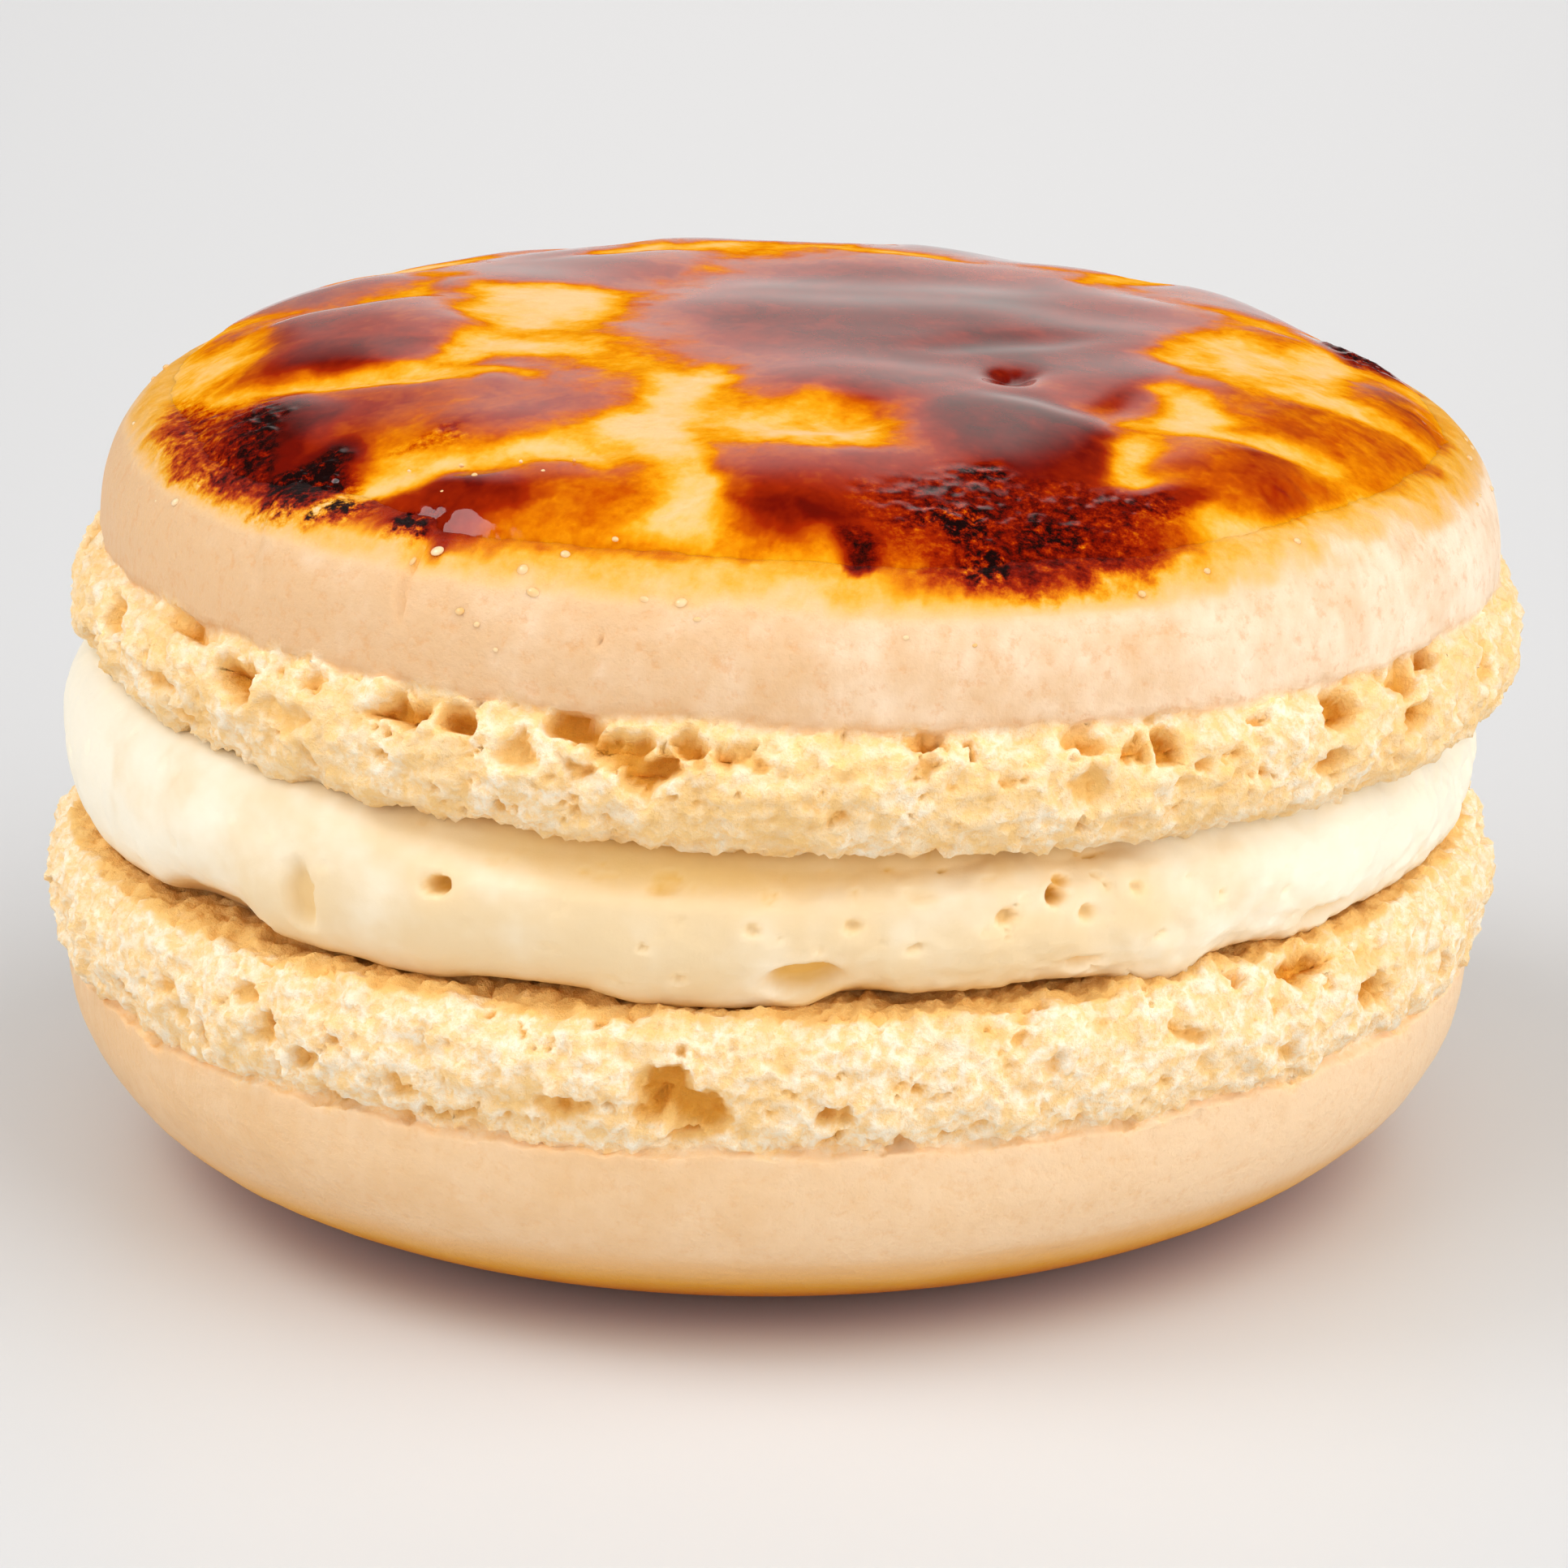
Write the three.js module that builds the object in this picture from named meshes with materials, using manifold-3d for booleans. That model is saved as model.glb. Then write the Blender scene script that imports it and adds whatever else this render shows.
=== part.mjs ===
// A sandwich biscuit of two almond-meringue shells round a band of whipped cream, with torched sugar on its top.
// Millimetres, +Z up. The origin is the centre of the flat that the lower shell rests on, and the front faces -Y.
// Angles round the biscuit are in degrees from the front, positive towards +X.
import * as THREE from "three";
import { ImprovedNoise } from "three/addons/math/ImprovedNoise.js";
import { mergeVertices } from "three/addons/utils/BufferGeometryUtils.js";
import Module from "manifold-3d";

const wasm = await Module();
wasm.setup();

// Lower shell: a smooth cap, upside down, under a crumbly foot
const REST_RADIUS = 13.2;
const LOWER_CAP = { radius: 22.2, rise: 6.84, across: 2.03, up: 2.25 };
const LOWER_FOOT_HEIGHT = 4.1;
const LOWER_TOP = LOWER_CAP.rise + LOWER_FOOT_HEIGHT;

// Upper shell: its foot stands on the cream, a little off the lower shell's axis and leaning to the right
const UPPER_AXIS_X = 0.85;
const UPPER_BASE_Z = 15.74;
const UPPER_LEAN = 0.034;
const UPPER_CAP = { radius: 21.84, rise: 6.1, across: 4.0, up: 2.6 };
const UPPER_FOOT_HEIGHT = 3.85;

// Both feet swell past their caps, and meet the cream on a flat that ends short of the rim
const FOOT_FLAT_RADIUS = 20.6;
const FOOT_INNER_RADIUS = 21.6;
const FOOT_SWELL = 1.05;
const CRUMB_RELIEF = 0.4;
const FOOT_RINGS = 8;

// Cream band
const CREAM = { axisX: 0.1, radius: 22.15, flatRadius: 20.9, rings: 8 };
const CONTACT_GAP = 0.05;

// Torched sugar: a thin film with raised pools
const SUGAR_EDGE_RADIUS = 19.9;
const SUGAR_GAP = 0.14;
const FILM_THICKNESS = 0.24;
const RIM_THICKNESS = 0.12;

const SHELL_SEGMENTS = 104;
const CREAM_SEGMENTS = 88;
const SUGAR_SEGMENTS = 80;

// Holes in the crumb of a foot: angle, height above the foot's lower edge, half width, half height and depth
const UPPER_FOOT_HOLES = [
  [-46.7, 2.6, 0.9, 0.7, 0.9],
  [-31, 2.9, 1.1, 0.5, 0.7],
  [-17, 3.1, 1.2, 0.5, 0.8],
  [-11.5, 2.4, 1.1, 0.7, 1.0],
  [9.6, 3.1, 0.8, 0.5, 0.7],
  [20.6, 3.0, 1.0, 0.5, 0.7],
  [44.5, 2.9, 0.9, 0.8, 0.8],
  [97, 2.6, 1.1, 0.7, 0.8],
  [141, 2.9, 1.4, 0.6, 0.9],
  [183, 2.5, 1.0, 0.8, 0.8],
  [222, 2.9, 1.5, 0.6, 0.9],
  [262, 2.7, 0.9, 0.7, 0.7],
];
const LOWER_FOOT_HOLES = [
  [-58, 1.4, 0.7, 0.5, 0.6],
  [-25.3, 0.7, 0.8, 0.6, 0.6],
  [-15, 1.4, 1.0, 0.5, 0.5],
  [-6.2, 1.7, 1.7, 1.25, 1.6],
  [5.3, 1.4, 0.7, 0.5, 0.6],
  [23, 0.6, 0.9, 0.4, 0.5],
  [44.9, 3.2, 1.1, 0.6, 0.9],
  [52.6, 2.0, 0.9, 0.7, 0.9],
  [88, 1.6, 1.1, 0.8, 0.9],
  [127, 2.2, 1.3, 0.7, 1.0],
  [168, 1.5, 1.2, 0.9, 1.0],
  [209, 2.3, 1.5, 0.7, 0.9],
  [251, 1.6, 1.0, 0.8, 0.8],
];

// Dents and lobes of the cream: angle, height above the cream's lower flat, half width, half height and depth
const CREAM_MARKS = [
  [-37.5, 2.0, 1.0, 1.7, 0.5],
  [2.8, 1.0, 1.6, 0.9, 0.7],
  [11.5, 3.6, 1.2, 0.8, 0.3],
  [22.2, 3.4, 0.9, 0.9, 0.5],
  [24, 1.0, 1.0, 0.6, 0.4],
  [32.8, 0.9, 1.3, 0.9, -0.45],
  [48.9, 0.9, 1.8, 0.8, 0.5],
  [104, 1.9, 1.8, 1.3, 0.5],
  [152, 1.2, 2.2, 0.9, 0.6],
  [196, 3.2, 1.4, 0.9, 0.4],
  [238, 1.3, 2.0, 1.0, 0.5],
  [281, 2.4, 1.5, 1.5, -0.4],
];

// Pools of melted sugar on the dome: x, y, half length, half width, turn in degrees and rise
const POOLS = [
  [3.5, -2.5, 8.6, 6.6, 0, 0.5],
  [6.0, -12.6, 4.0, 3.4, -10, 0.55],
  [-1.2, -16.2, 4.4, 2.2, -8, 0.6],
  [10.4, -5.2, 3.6, 3.2, 20, 0.45],
  [-0.6, 7.2, 9.5, 6.0, 5, 0.4],
  [-13.4, -1.3, 3.9, 2.3, 25, 0.6],
  [-16.0, -9.8, 2.0, 2.6, 15, 0.55],
  [-9.7, -10.0, 3.9, 2.7, 12, 0.55],
  [-9.6, -16.0, 4.3, 2.1, 20, 0.65],
  [-4.9, -18.2, 2.8, 1.3, 5, 0.35],
  [-6.4, -3.4, 3.6, 3.0, 0, 0.3],
  [5.2, -17.6, 3.8, 2.1, 0, 0.35],
  [9.7, -15.3, 2.4, 1.4, -15, 0.45],
  [12.8, -12.4, 3.0, 2.0, -28, 0.6],
  [16.3, -7.8, 2.4, 3.3, 20, 0.55],
  [18.2, -0.6, 1.4, 3.0, 8, 0.45],
  [6.2, 13.4, 5.2, 3.4, -20, 0.5],
  [-8.2, 13.2, 4.4, 3.0, 30, 0.5],
  [14.2, 10.8, 3.2, 2.6, -40, 0.5],
  [-15.6, 7.4, 2.4, 3.2, 25, 0.5],
];

// Bare patches where the sugar leaves the shell uncovered: x, y and radius
const BARE_PATCHES = [
  [0.2, -11.9, 1.7],
  [11.4, -9.0, 1.5],
  [-10.9, -5.0, 1.3],
  [13.4, 3.6, 1.4],
  [-10.4, 8.4, 1.6],
];
const PATCH_CORNERS = 14;

// The crack in the upper cap: angle, lowest and highest point above the foot, width and depth
const CRACK = { angle: -32, from: 5.1, to: 7.6, width: 0.32, depth: 1.64 };

const perlin = new ImprovedNoise();
const noise = (p, size, shift) =>
  perlin.noise(p.x / size + shift, p.y / size + shift, p.z / size - shift);
const angleOf = (p) => Math.atan2(p.x, -p.y);
const smooth = (from, to, value) => THREE.MathUtils.smoothstep(value, from, to);

// 1 at the middle of a mark and 0 from its edge outwards
function bell(u, v) {
  const far = u * u + v * v;
  return far < 1 ? (1 - far) ** 2 : 0;
}

// How deep the marks of a list reach at a point on a side wall
function dents(marks, p, radius) {
  let depth = 0;
  for (const [degrees, height, halfWidth, halfHeight, deep] of marks) {
    let turn = angleOf(p) - THREE.MathUtils.degToRad(degrees);
    turn -= 2 * Math.PI * Math.round(turn / (2 * Math.PI));
    depth += deep * bell((turn * radius) / halfWidth, (p.z - height) / halfHeight);
  }
  return depth;
}

// Height of a cap above its rim at a distance from its axis
function capHeight(cap, r) {
  const left = 1 - Math.min(1, r / cap.radius) ** cap.across;
  return cap.rise * left ** (1 / cap.up);
}

// A revolved profile, turned so that its axis is Z, with shared vertices merged
function revolve(profile, segments) {
  const lathe = new THREE.LatheGeometry(profile.map(([r, z]) => new THREE.Vector2(r, z)), segments);
  lathe.rotateX(Math.PI / 2);
  lathe.deleteAttribute("normal");
  lathe.deleteAttribute("uv");
  const merged = mergeVertices(lathe, 1e-3);
  merged.computeVertexNormals();
  return merged;
}

// Moves each vertex along its normal by the distance that the rule gives
function roughen(geometry, rule) {
  const position = geometry.getAttribute("position");
  const normal = geometry.getAttribute("normal");
  const p = new THREE.Vector3();
  const n = new THREE.Vector3();
  for (let i = 0; i < position.count; i++) {
    p.fromBufferAttribute(position, i);
    n.fromBufferAttribute(normal, i);
    p.addScaledVector(n, rule(p));
    position.setXYZ(i, p.x, p.y, p.z);
  }
  geometry.computeVertexNormals();
  return geometry;
}

function solidOf(geometry) {
  const plain = new THREE.BufferGeometry().setAttribute("position", geometry.getAttribute("position"));
  plain.setIndex(geometry.index);
  const merged = mergeVertices(plain, 1e-3);
  return new wasm.Manifold(
    new wasm.Mesh({
      numProp: 3,
      vertProperties: new Float32Array(merged.getAttribute("position").array),
      triVerts: new Uint32Array(merged.index.array),
    }),
  );
}

function geometryOf(solid) {
  const mesh = solid.getMesh();
  const geometry = new THREE.BufferGeometry();
  geometry.setAttribute("position", new THREE.BufferAttribute(mesh.vertProperties, 3));
  geometry.setIndex(new THREE.BufferAttribute(mesh.triVerts, 1));
  geometry.computeVertexNormals();
  return geometry;
}

function mesh(name, geometry, colour, roughness) {
  const made = new THREE.Mesh(geometry, new THREE.MeshStandardMaterial({ color: colour, roughness, metalness: 0 }));
  made.name = name;
  return made;
}

// Half outline of a foot, from its lower rim to its upper rim
function footOutline(bottom, height) {
  const points = [];
  for (let i = 0; i <= FOOT_RINGS; i++) {
    const t = i / FOOT_RINGS;
    points.push([FOOT_INNER_RADIUS + FOOT_SWELL * Math.sin(Math.PI * t) ** 0.8, bottom + t * height]);
  }
  return points;
}

// Half outline of a cap from its rim to its axis, as [distance from the axis, height above the rim]
function capOutline(cap, stopRadius, steps) {
  const points = [];
  for (let i = 1; i <= steps; i++) {
    const t = ((i / steps) * Math.PI) / 2;
    const r = stopRadius + (cap.radius - stopRadius) * Math.cos(t) ** (2 / cap.across);
    points.push([i === steps ? stopRadius : r, cap.rise * Math.sin(t) ** (2 / cap.up)]);
  }
  return points;
}

// Crumb of a foot, fading to nothing at its two rims
function crumb(p, height, holes, shift) {
  const t = THREE.MathUtils.clamp(p.z / height, 0, 1);
  const fade = Math.sin(Math.PI * t) ** 0.5;
  const lumps = noise(p, 1.7, shift) + 0.6 * noise(p, 0.8, shift + 5);
  return fade * (CRUMB_RELIEF * lumps - dents(holes, p, FOOT_INNER_RADIUS + FOOT_SWELL));
}

// Slow unevenness of a baked shell, as it was piped by hand
function waver(p, shift) {
  return 0.35 * noise(p, 16, shift) + 0.2 * noise(p, 7, shift + 3);
}

function lowerShell() {
  const rim = LOWER_CAP.rise;
  const cap = capOutline(LOWER_CAP, REST_RADIUS, 8).map(([r, z]) => [r, rim - z]);
  const profile = [
    [0, 0],
    ...cap.reverse(),
    ...footOutline(rim, LOWER_FOOT_HEIGHT),
    [FOOT_FLAT_RADIUS, LOWER_TOP],
    [0, LOWER_TOP],
  ];
  const local = new THREE.Vector3();
  return roughen(revolve(profile, SHELL_SEGMENTS), (p) => {
    const r = Math.hypot(p.x, p.y);
    if (p.z < 0.01 || (p.z > LOWER_TOP - 0.01 && r < FOOT_FLAT_RADIUS + 0.1)) return 0;
    const side = smooth(0, 3, p.z) * smooth(0, 1, LOWER_TOP - p.z + 0.3);
    local.set(p.x, p.y, p.z - rim);
    const rough = p.z > rim ? crumb(local, LOWER_FOOT_HEIGHT, LOWER_FOOT_HOLES, 21.3) : 0;
    return side * waver(p, 3.7) + rough;
  });
}

function crackWedge() {
  const outer = UPPER_CAP.radius + 1;
  const inner = UPPER_CAP.radius - CRACK.depth;
  const blade = new THREE.Shape([
    new THREE.Vector2(-CRACK.width, -outer),
    new THREE.Vector2(CRACK.width, -outer),
    new THREE.Vector2(0, -inner),
  ]);
  const cut = new THREE.ExtrudeGeometry(blade, { depth: CRACK.to - CRACK.from, bevelEnabled: false });
  cut.translate(0, 0, CRACK.from);
  cut.rotateZ(THREE.MathUtils.degToRad(CRACK.angle));
  cut.deleteAttribute("normal");
  cut.deleteAttribute("uv");
  return mergeVertices(cut, 1e-3);
}

function upperShell() {
  const rim = UPPER_FOOT_HEIGHT;
  const profile = [
    [0, 0],
    [FOOT_FLAT_RADIUS, 0],
    ...footOutline(0, rim),
    ...capOutline(UPPER_CAP, 0, 13).map(([r, z]) => [r, z + rim]),
  ];
  const shell = roughen(revolve(profile, SHELL_SEGMENTS), (p) => {
    const r = Math.hypot(p.x, p.y);
    if (p.z < 0.01 && r < FOOT_FLAT_RADIUS + 0.1) return 0;
    const side = smooth(0, 1, p.z) * smooth(0, 3, UPPER_FOOT_HEIGHT + 4 - p.z);
    const rough = p.z < rim ? crumb(p, rim, UPPER_FOOT_HOLES, 8.1) : 0;
    return side * waver(p, 11.9) + rough;
  });
  return geometryOf(solidOf(shell).subtract(solidOf(crackWedge())));
}

// The cream's upper flat follows the lean of the upper shell
const creamTop = (x) => UPPER_BASE_Z - UPPER_LEAN * (x - UPPER_AXIS_X) - CONTACT_GAP;
const creamBottom = LOWER_TOP + CONTACT_GAP;

function cream() {
  const profile = [
    [0, 0],
    [CREAM.flatRadius, 0],
  ];
  for (let i = 1; i < CREAM.rings; i++) {
    const t = i / CREAM.rings;
    profile.push([CREAM.flatRadius + (CREAM.radius - CREAM.flatRadius) * Math.sin(Math.PI * t) ** 0.55, t]);
  }
  profile.push([CREAM.flatRadius - 0.2, 1], [0, 1]);
  const band = revolve(profile, CREAM_SEGMENTS);
  const position = band.getAttribute("position");
  const p = new THREE.Vector3();
  for (let i = 0; i < position.count; i++) {
    p.fromBufferAttribute(position, i);
    const share = THREE.MathUtils.clamp(p.z, 0, 1);
    const r = Math.hypot(p.x, p.y);
    const onWall = Math.sin(Math.PI * share) ** 0.5;
    p.z = share * (creamTop(CREAM.axisX) - creamBottom);
    const swell = onWall * (waver(p, 30.2) + 0.25 * noise(p, 3.2, 1.4) - dents(CREAM_MARKS, p, CREAM.radius));
    const grown = r > 1e-6 ? (r + swell) / r : 1;
    p.x = p.x * grown + CREAM.axisX;
    p.y *= grown;
    p.z = creamBottom + share * (creamTop(p.x) - creamBottom);
    position.setXYZ(i, p.x, p.y, p.z);
  }
  band.computeVertexNormals();
  return band;
}

// Outline of the sugar, which runs further down the cap in some directions than in others
function sugarEdge(turn) {
  return SUGAR_EDGE_RADIUS + 0.35 * Math.sin(3 * turn + 0.6) + 0.2 * Math.sin(7 * turn) + 0.12 * Math.sin(13 * turn + 2);
}

function sugarRise(x, y) {
  let rise = 0;
  for (const [cx, cy, halfLength, halfWidth, degrees, high] of POOLS) {
    const turn = THREE.MathUtils.degToRad(degrees);
    const u = ((x - cx) * Math.cos(turn) + (y - cy) * Math.sin(turn)) / halfLength;
    const v = ((y - cy) * Math.cos(turn) - (x - cx) * Math.sin(turn)) / halfWidth;
    rise = Math.max(rise, high * Math.sqrt(bell(u, v)));
  }
  return rise;
}

// A disc of two faces and a rim, laid on the dome: the lower face clears it by a small gap
function sugar() {
  const lower = [0, 0.4, 0.62, 0.78, 0.9, 1];
  const upper = [1, 0.95, 0.87, 0.78, 0.67, 0.55, 0.42, 0.28, 0.14, 0];
  const profile = [...lower.map((u) => [u, 0]), ...upper.map((u) => [u, 1])];
  const disc = revolve(profile, SUGAR_SEGMENTS);
  const position = disc.getAttribute("position");
  for (let i = 0; i < position.count; i++) {
    const share = Math.hypot(position.getX(i), position.getY(i));
    const turn = Math.atan2(position.getX(i), -position.getY(i));
    const r = share * sugarEdge(turn);
    const x = r * Math.sin(turn);
    const y = -r * Math.cos(turn);
    const film = THREE.MathUtils.lerp(FILM_THICKNESS, RIM_THICKNESS, smooth(0.9, 1, share));
    const thick = film + sugarRise(x, y) * smooth(0, 0.1, 1 - share);
    const z = UPPER_FOOT_HEIGHT + capHeight(UPPER_CAP, r) + SUGAR_GAP + position.getZ(i) * thick;
    position.setXYZ(i, x, y, z);
  }
  let skin = solidOf(disc);
  for (const [x, y, radius] of BARE_PATCHES) {
    const corners = [];
    for (let i = 0; i < PATCH_CORNERS; i++) {
      const turn = (i / PATCH_CORNERS) * 2 * Math.PI;
      const far = radius * (1 + 0.16 * Math.sin(3 * turn + x) + 0.1 * Math.sin(5 * turn + y));
      corners.push(new THREE.Vector2(x + far * Math.cos(turn), y + far * Math.sin(turn)));
    }
    const cutter = new THREE.ExtrudeGeometry(new THREE.Shape(corners), { depth: 20, bevelEnabled: false });
    cutter.deleteAttribute("normal");
    cutter.deleteAttribute("uv");
    skin = skin.subtract(solidOf(mergeVertices(cutter, 1e-3)));
  }
  return geometryOf(skin);
}

const macaron = new THREE.Group();
macaron.add(mesh("bottom_shell", lowerShell(), 0xf1cfa0, 0.75));
macaron.add(mesh("cream_filling", cream(), 0xf6e8c8, 0.55));

const upper = new THREE.Group();
upper.position.set(UPPER_AXIS_X, 0, UPPER_BASE_Z);
upper.rotation.y = Math.atan(UPPER_LEAN);
upper.add(mesh("top_shell", upperShell(), 0xf2d6ac, 0.75));
upper.add(mesh("burnt_sugar", sugar(), 0xa8480f, 0.15));
macaron.add(upper);

export default macaron;
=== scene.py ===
# %% [markdown]
# # A french macaron with a torched sugar top
# Two round shells of almond meringue hold a thick band of whipped cream. Each shell has a smooth cap and
# a crumbly foot. The upper cap carries a thin skin of sugar that was melted and burnt with a torch.
# This lesson turns each part on its axis, roughens it, and then gives it a baked, creamy or glassy finish.

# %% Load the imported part
import math
import random

import bpy
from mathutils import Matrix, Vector


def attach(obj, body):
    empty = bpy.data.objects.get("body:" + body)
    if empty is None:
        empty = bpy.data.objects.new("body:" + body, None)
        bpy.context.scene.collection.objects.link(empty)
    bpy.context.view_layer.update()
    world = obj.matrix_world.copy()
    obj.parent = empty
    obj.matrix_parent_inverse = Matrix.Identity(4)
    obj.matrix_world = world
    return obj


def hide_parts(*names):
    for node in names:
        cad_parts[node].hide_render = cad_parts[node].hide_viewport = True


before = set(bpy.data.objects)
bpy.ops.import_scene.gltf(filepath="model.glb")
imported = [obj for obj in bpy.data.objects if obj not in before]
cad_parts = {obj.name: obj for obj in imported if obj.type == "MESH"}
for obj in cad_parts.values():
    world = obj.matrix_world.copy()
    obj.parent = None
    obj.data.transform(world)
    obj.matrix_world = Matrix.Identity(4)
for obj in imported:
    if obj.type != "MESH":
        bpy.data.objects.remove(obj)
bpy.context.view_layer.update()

MM = 0.001

# %% [markdown]
# ## Camera
# The photo was taken from the front, a little above the table, with a long lens. Its height above the table
# and its distance were worked out from the ellipses of the rims. A long lens is a large focal length, and
# the camera is placed by a distance and one angle, so that both are easy to read and change.

# %% Camera
AIM = Vector((0.47, 0.0, 11.04)) * MM
CAMERA_DISTANCE = 180 * MM
CAMERA_RISE = math.radians(17.35)
LENS = 129.8

bpy.ops.object.select_all(action="DESELECT")
back = Vector((0.0, -math.cos(CAMERA_RISE), math.sin(CAMERA_RISE)))
bpy.ops.object.camera_add(location=AIM + back * CAMERA_DISTANCE, rotation=(math.pi / 2 - CAMERA_RISE, 0, 0))
camera = bpy.context.object
camera.data.lens = LENS
camera.data.sensor_width = 36
camera.data.clip_start = 0.01
bpy.context.scene.camera = camera
print("camera stands", round(camera.location.z / MM, 1), "mm above the table")

# %% [markdown]
# ## Sums on sockets
# Both the relief of the crumb and the colours of the sugar are worked out from sums on the surface's own
# coordinates. Blender writes such sums as trees of Math nodes, which are slow to wire by hand. A small class
# lets Python's own plus, minus and times add those nodes, for shaders and for geometry alike.

# %% A wire and its sums
class Wire:
    """A number, vector or colour that comes out of a node. A sum on it adds the node that works it out."""

    def __init__(self, nodes, socket):
        self.nodes = nodes
        self.socket = socket

    def maths(self, operation, *others):
        return self.nodes.add("ShaderNodeMath", {"operation": operation}, dict(enumerate((self, *others))))

    def __add__(self, other):
        return self.maths("ADD", other)

    def __sub__(self, other):
        return self.maths("SUBTRACT", other)

    def __rsub__(self, other):
        return self.nodes.add("ShaderNodeMath", {"operation": "SUBTRACT"}, {0: other, 1: self})

    def __mul__(self, other):
        return self.maths("MULTIPLY", other)

    def __truediv__(self, other):
        return self.maths("DIVIDE", other)

    def __pow__(self, other):
        return self.maths("POWER", other)

    __radd__ = __add__
    __rmul__ = __mul__


# %% The nodes of one tree
class Nodes:
    """One node tree. add() makes a node from its type, settings and the values or wires of its sockets."""

    def __init__(self, tree):
        self.tree = tree

    def add(self, kind, settings=None, inputs=None, out=0):
        node = self.tree.nodes.new(kind)
        for name, value in (settings or {}).items():
            if name == "stops":
                set_stops(node.color_ramp, value)
            elif name == "points":
                set_points(node.mapping, value)
            else:
                setattr(node, name, value)
        for name, value in (inputs or {}).items():
            self.plug(node.inputs[name], value)
        return Wire(self, node.outputs[out])

    def plug(self, socket, value):
        if isinstance(value, Wire):
            self.tree.links.new(value.socket, socket)
        else:
            socket.default_value = value

    def vector(self, operation, first, second=None, out=0):
        inputs = {0: first} if second is None else {0: first, 1: second}
        return self.add("ShaderNodeVectorMath", {"operation": operation}, inputs, out)

    def times(self, vector, by):
        return self.add("ShaderNodeVectorMath", {"operation": "SCALE"}, {0: vector, "Scale": by})

    def axes(self, vector):
        node = self.add("ShaderNodeSeparateXYZ", None, {0: vector}).socket.node
        return [Wire(self, socket) for socket in node.outputs]

    def join(self, x, y, z):
        return self.add("ShaderNodeCombineXYZ", None, {0: x, 1: y, 2: z})

    def ease(self, value, start, end, low=0.0, high=1.0):
        """A smooth step, from low at start to high at end."""
        inputs = {0: value, 1: start, 2: end, 3: low, 4: high}
        return self.add("ShaderNodeMapRange", {"interpolation_type": "SMOOTHSTEP"}, inputs)

    def moved_on(self, place, seed):
        """The place, moved so far that a pattern there is unlike the one of another seed."""
        return self.vector("ADD", place, (17.3 * seed, 7.1 * seed, 31.7 * seed)) if seed else place

    def noise(self, place, size, detail=2.0, rough=0.5, seed=0.0):
        """Cloudy noise of a size in millimetres, from about -0.5 to 0.5."""
        place = self.moved_on(place, seed)
        inputs = {"Vector": place, "Scale": 1 / size, "Detail": detail, "Roughness": rough}
        return self.add("ShaderNodeTexNoise", None, inputs) - 0.5

    def stirred(self, place, size, reach, seed=0.0):
        """The place, pushed about by noise by up to about half the reach."""
        inputs = {"Vector": self.moved_on(place, seed), "Scale": 1 / size, "Detail": 2.0}
        cloud = self.add("ShaderNodeTexNoise", None, inputs, out=1)
        push = self.times(self.vector("SUBTRACT", cloud, (0.5, 0.5, 0.5)), reach)
        return self.vector("ADD", place, push)

    def cells(self, place, size, seed=0.0, smooth=0.3):
        """Distance to the nearest of many scattered grains, as a share of their size."""
        inputs = {"Vector": self.moved_on(place, seed), "Scale": 1 / size, "Smoothness": smooth}
        return self.add("ShaderNodeTexVoronoi", {"feature": "SMOOTH_F1"}, inputs)


def set_stops(ramp, stops):
    """Fills a colour ramp from pairs of position and colour."""
    while len(ramp.elements) > 1:
        ramp.elements.remove(ramp.elements[0])
    ramp.elements[0].position, ramp.elements[0].color = stops[0]
    for position, colour in stops[1:]:
        ramp.elements.new(position).color = colour


def set_points(mapping, points):
    """Fills a curve from pairs of place and height."""
    curve = mapping.curves[0]
    for place, height in points[1:-1]:
        curve.points.new(place, height)
    curve.points[0].location = points[0]
    curve.points[-1].location = points[-1]
    mapping.update()


# %% [markdown]
# ## Turning and roughening
# Every layer of a macaron is round, so each is turned: one half outline is drawn from the axis out and back
# to the axis, and spun a full turn. The crumb, the dents and the burns are too fine to push by hand. They
# are a Geometry Nodes step instead, where each point moves by a sum of noise and of named marks. The step
# also keeps numbers on the points for the finishes to read, such as how deep a spot lies, which the
# finishes turn into painted shade.

# %% Pick a piece and apply a step to it
def pick(*pieces):
    """Selects these pieces and nothing else. The first is the one that is worked on."""
    bpy.ops.object.select_all(action="DESELECT")
    for piece in pieces:
        piece.select_set(True)
    bpy.context.view_layer.objects.active = pieces[0]


def finish_step(piece, step):
    """Applies one modifier of a piece."""
    pick(piece)
    title = step.name
    bpy.ops.object.modifier_apply(modifier=title)
    print(piece.name, "after", title, "has", len(piece.data.polygons), "faces")


# %% Turn an outline into a closed body
MERGE_GAP = 0.002 * MM


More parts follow.
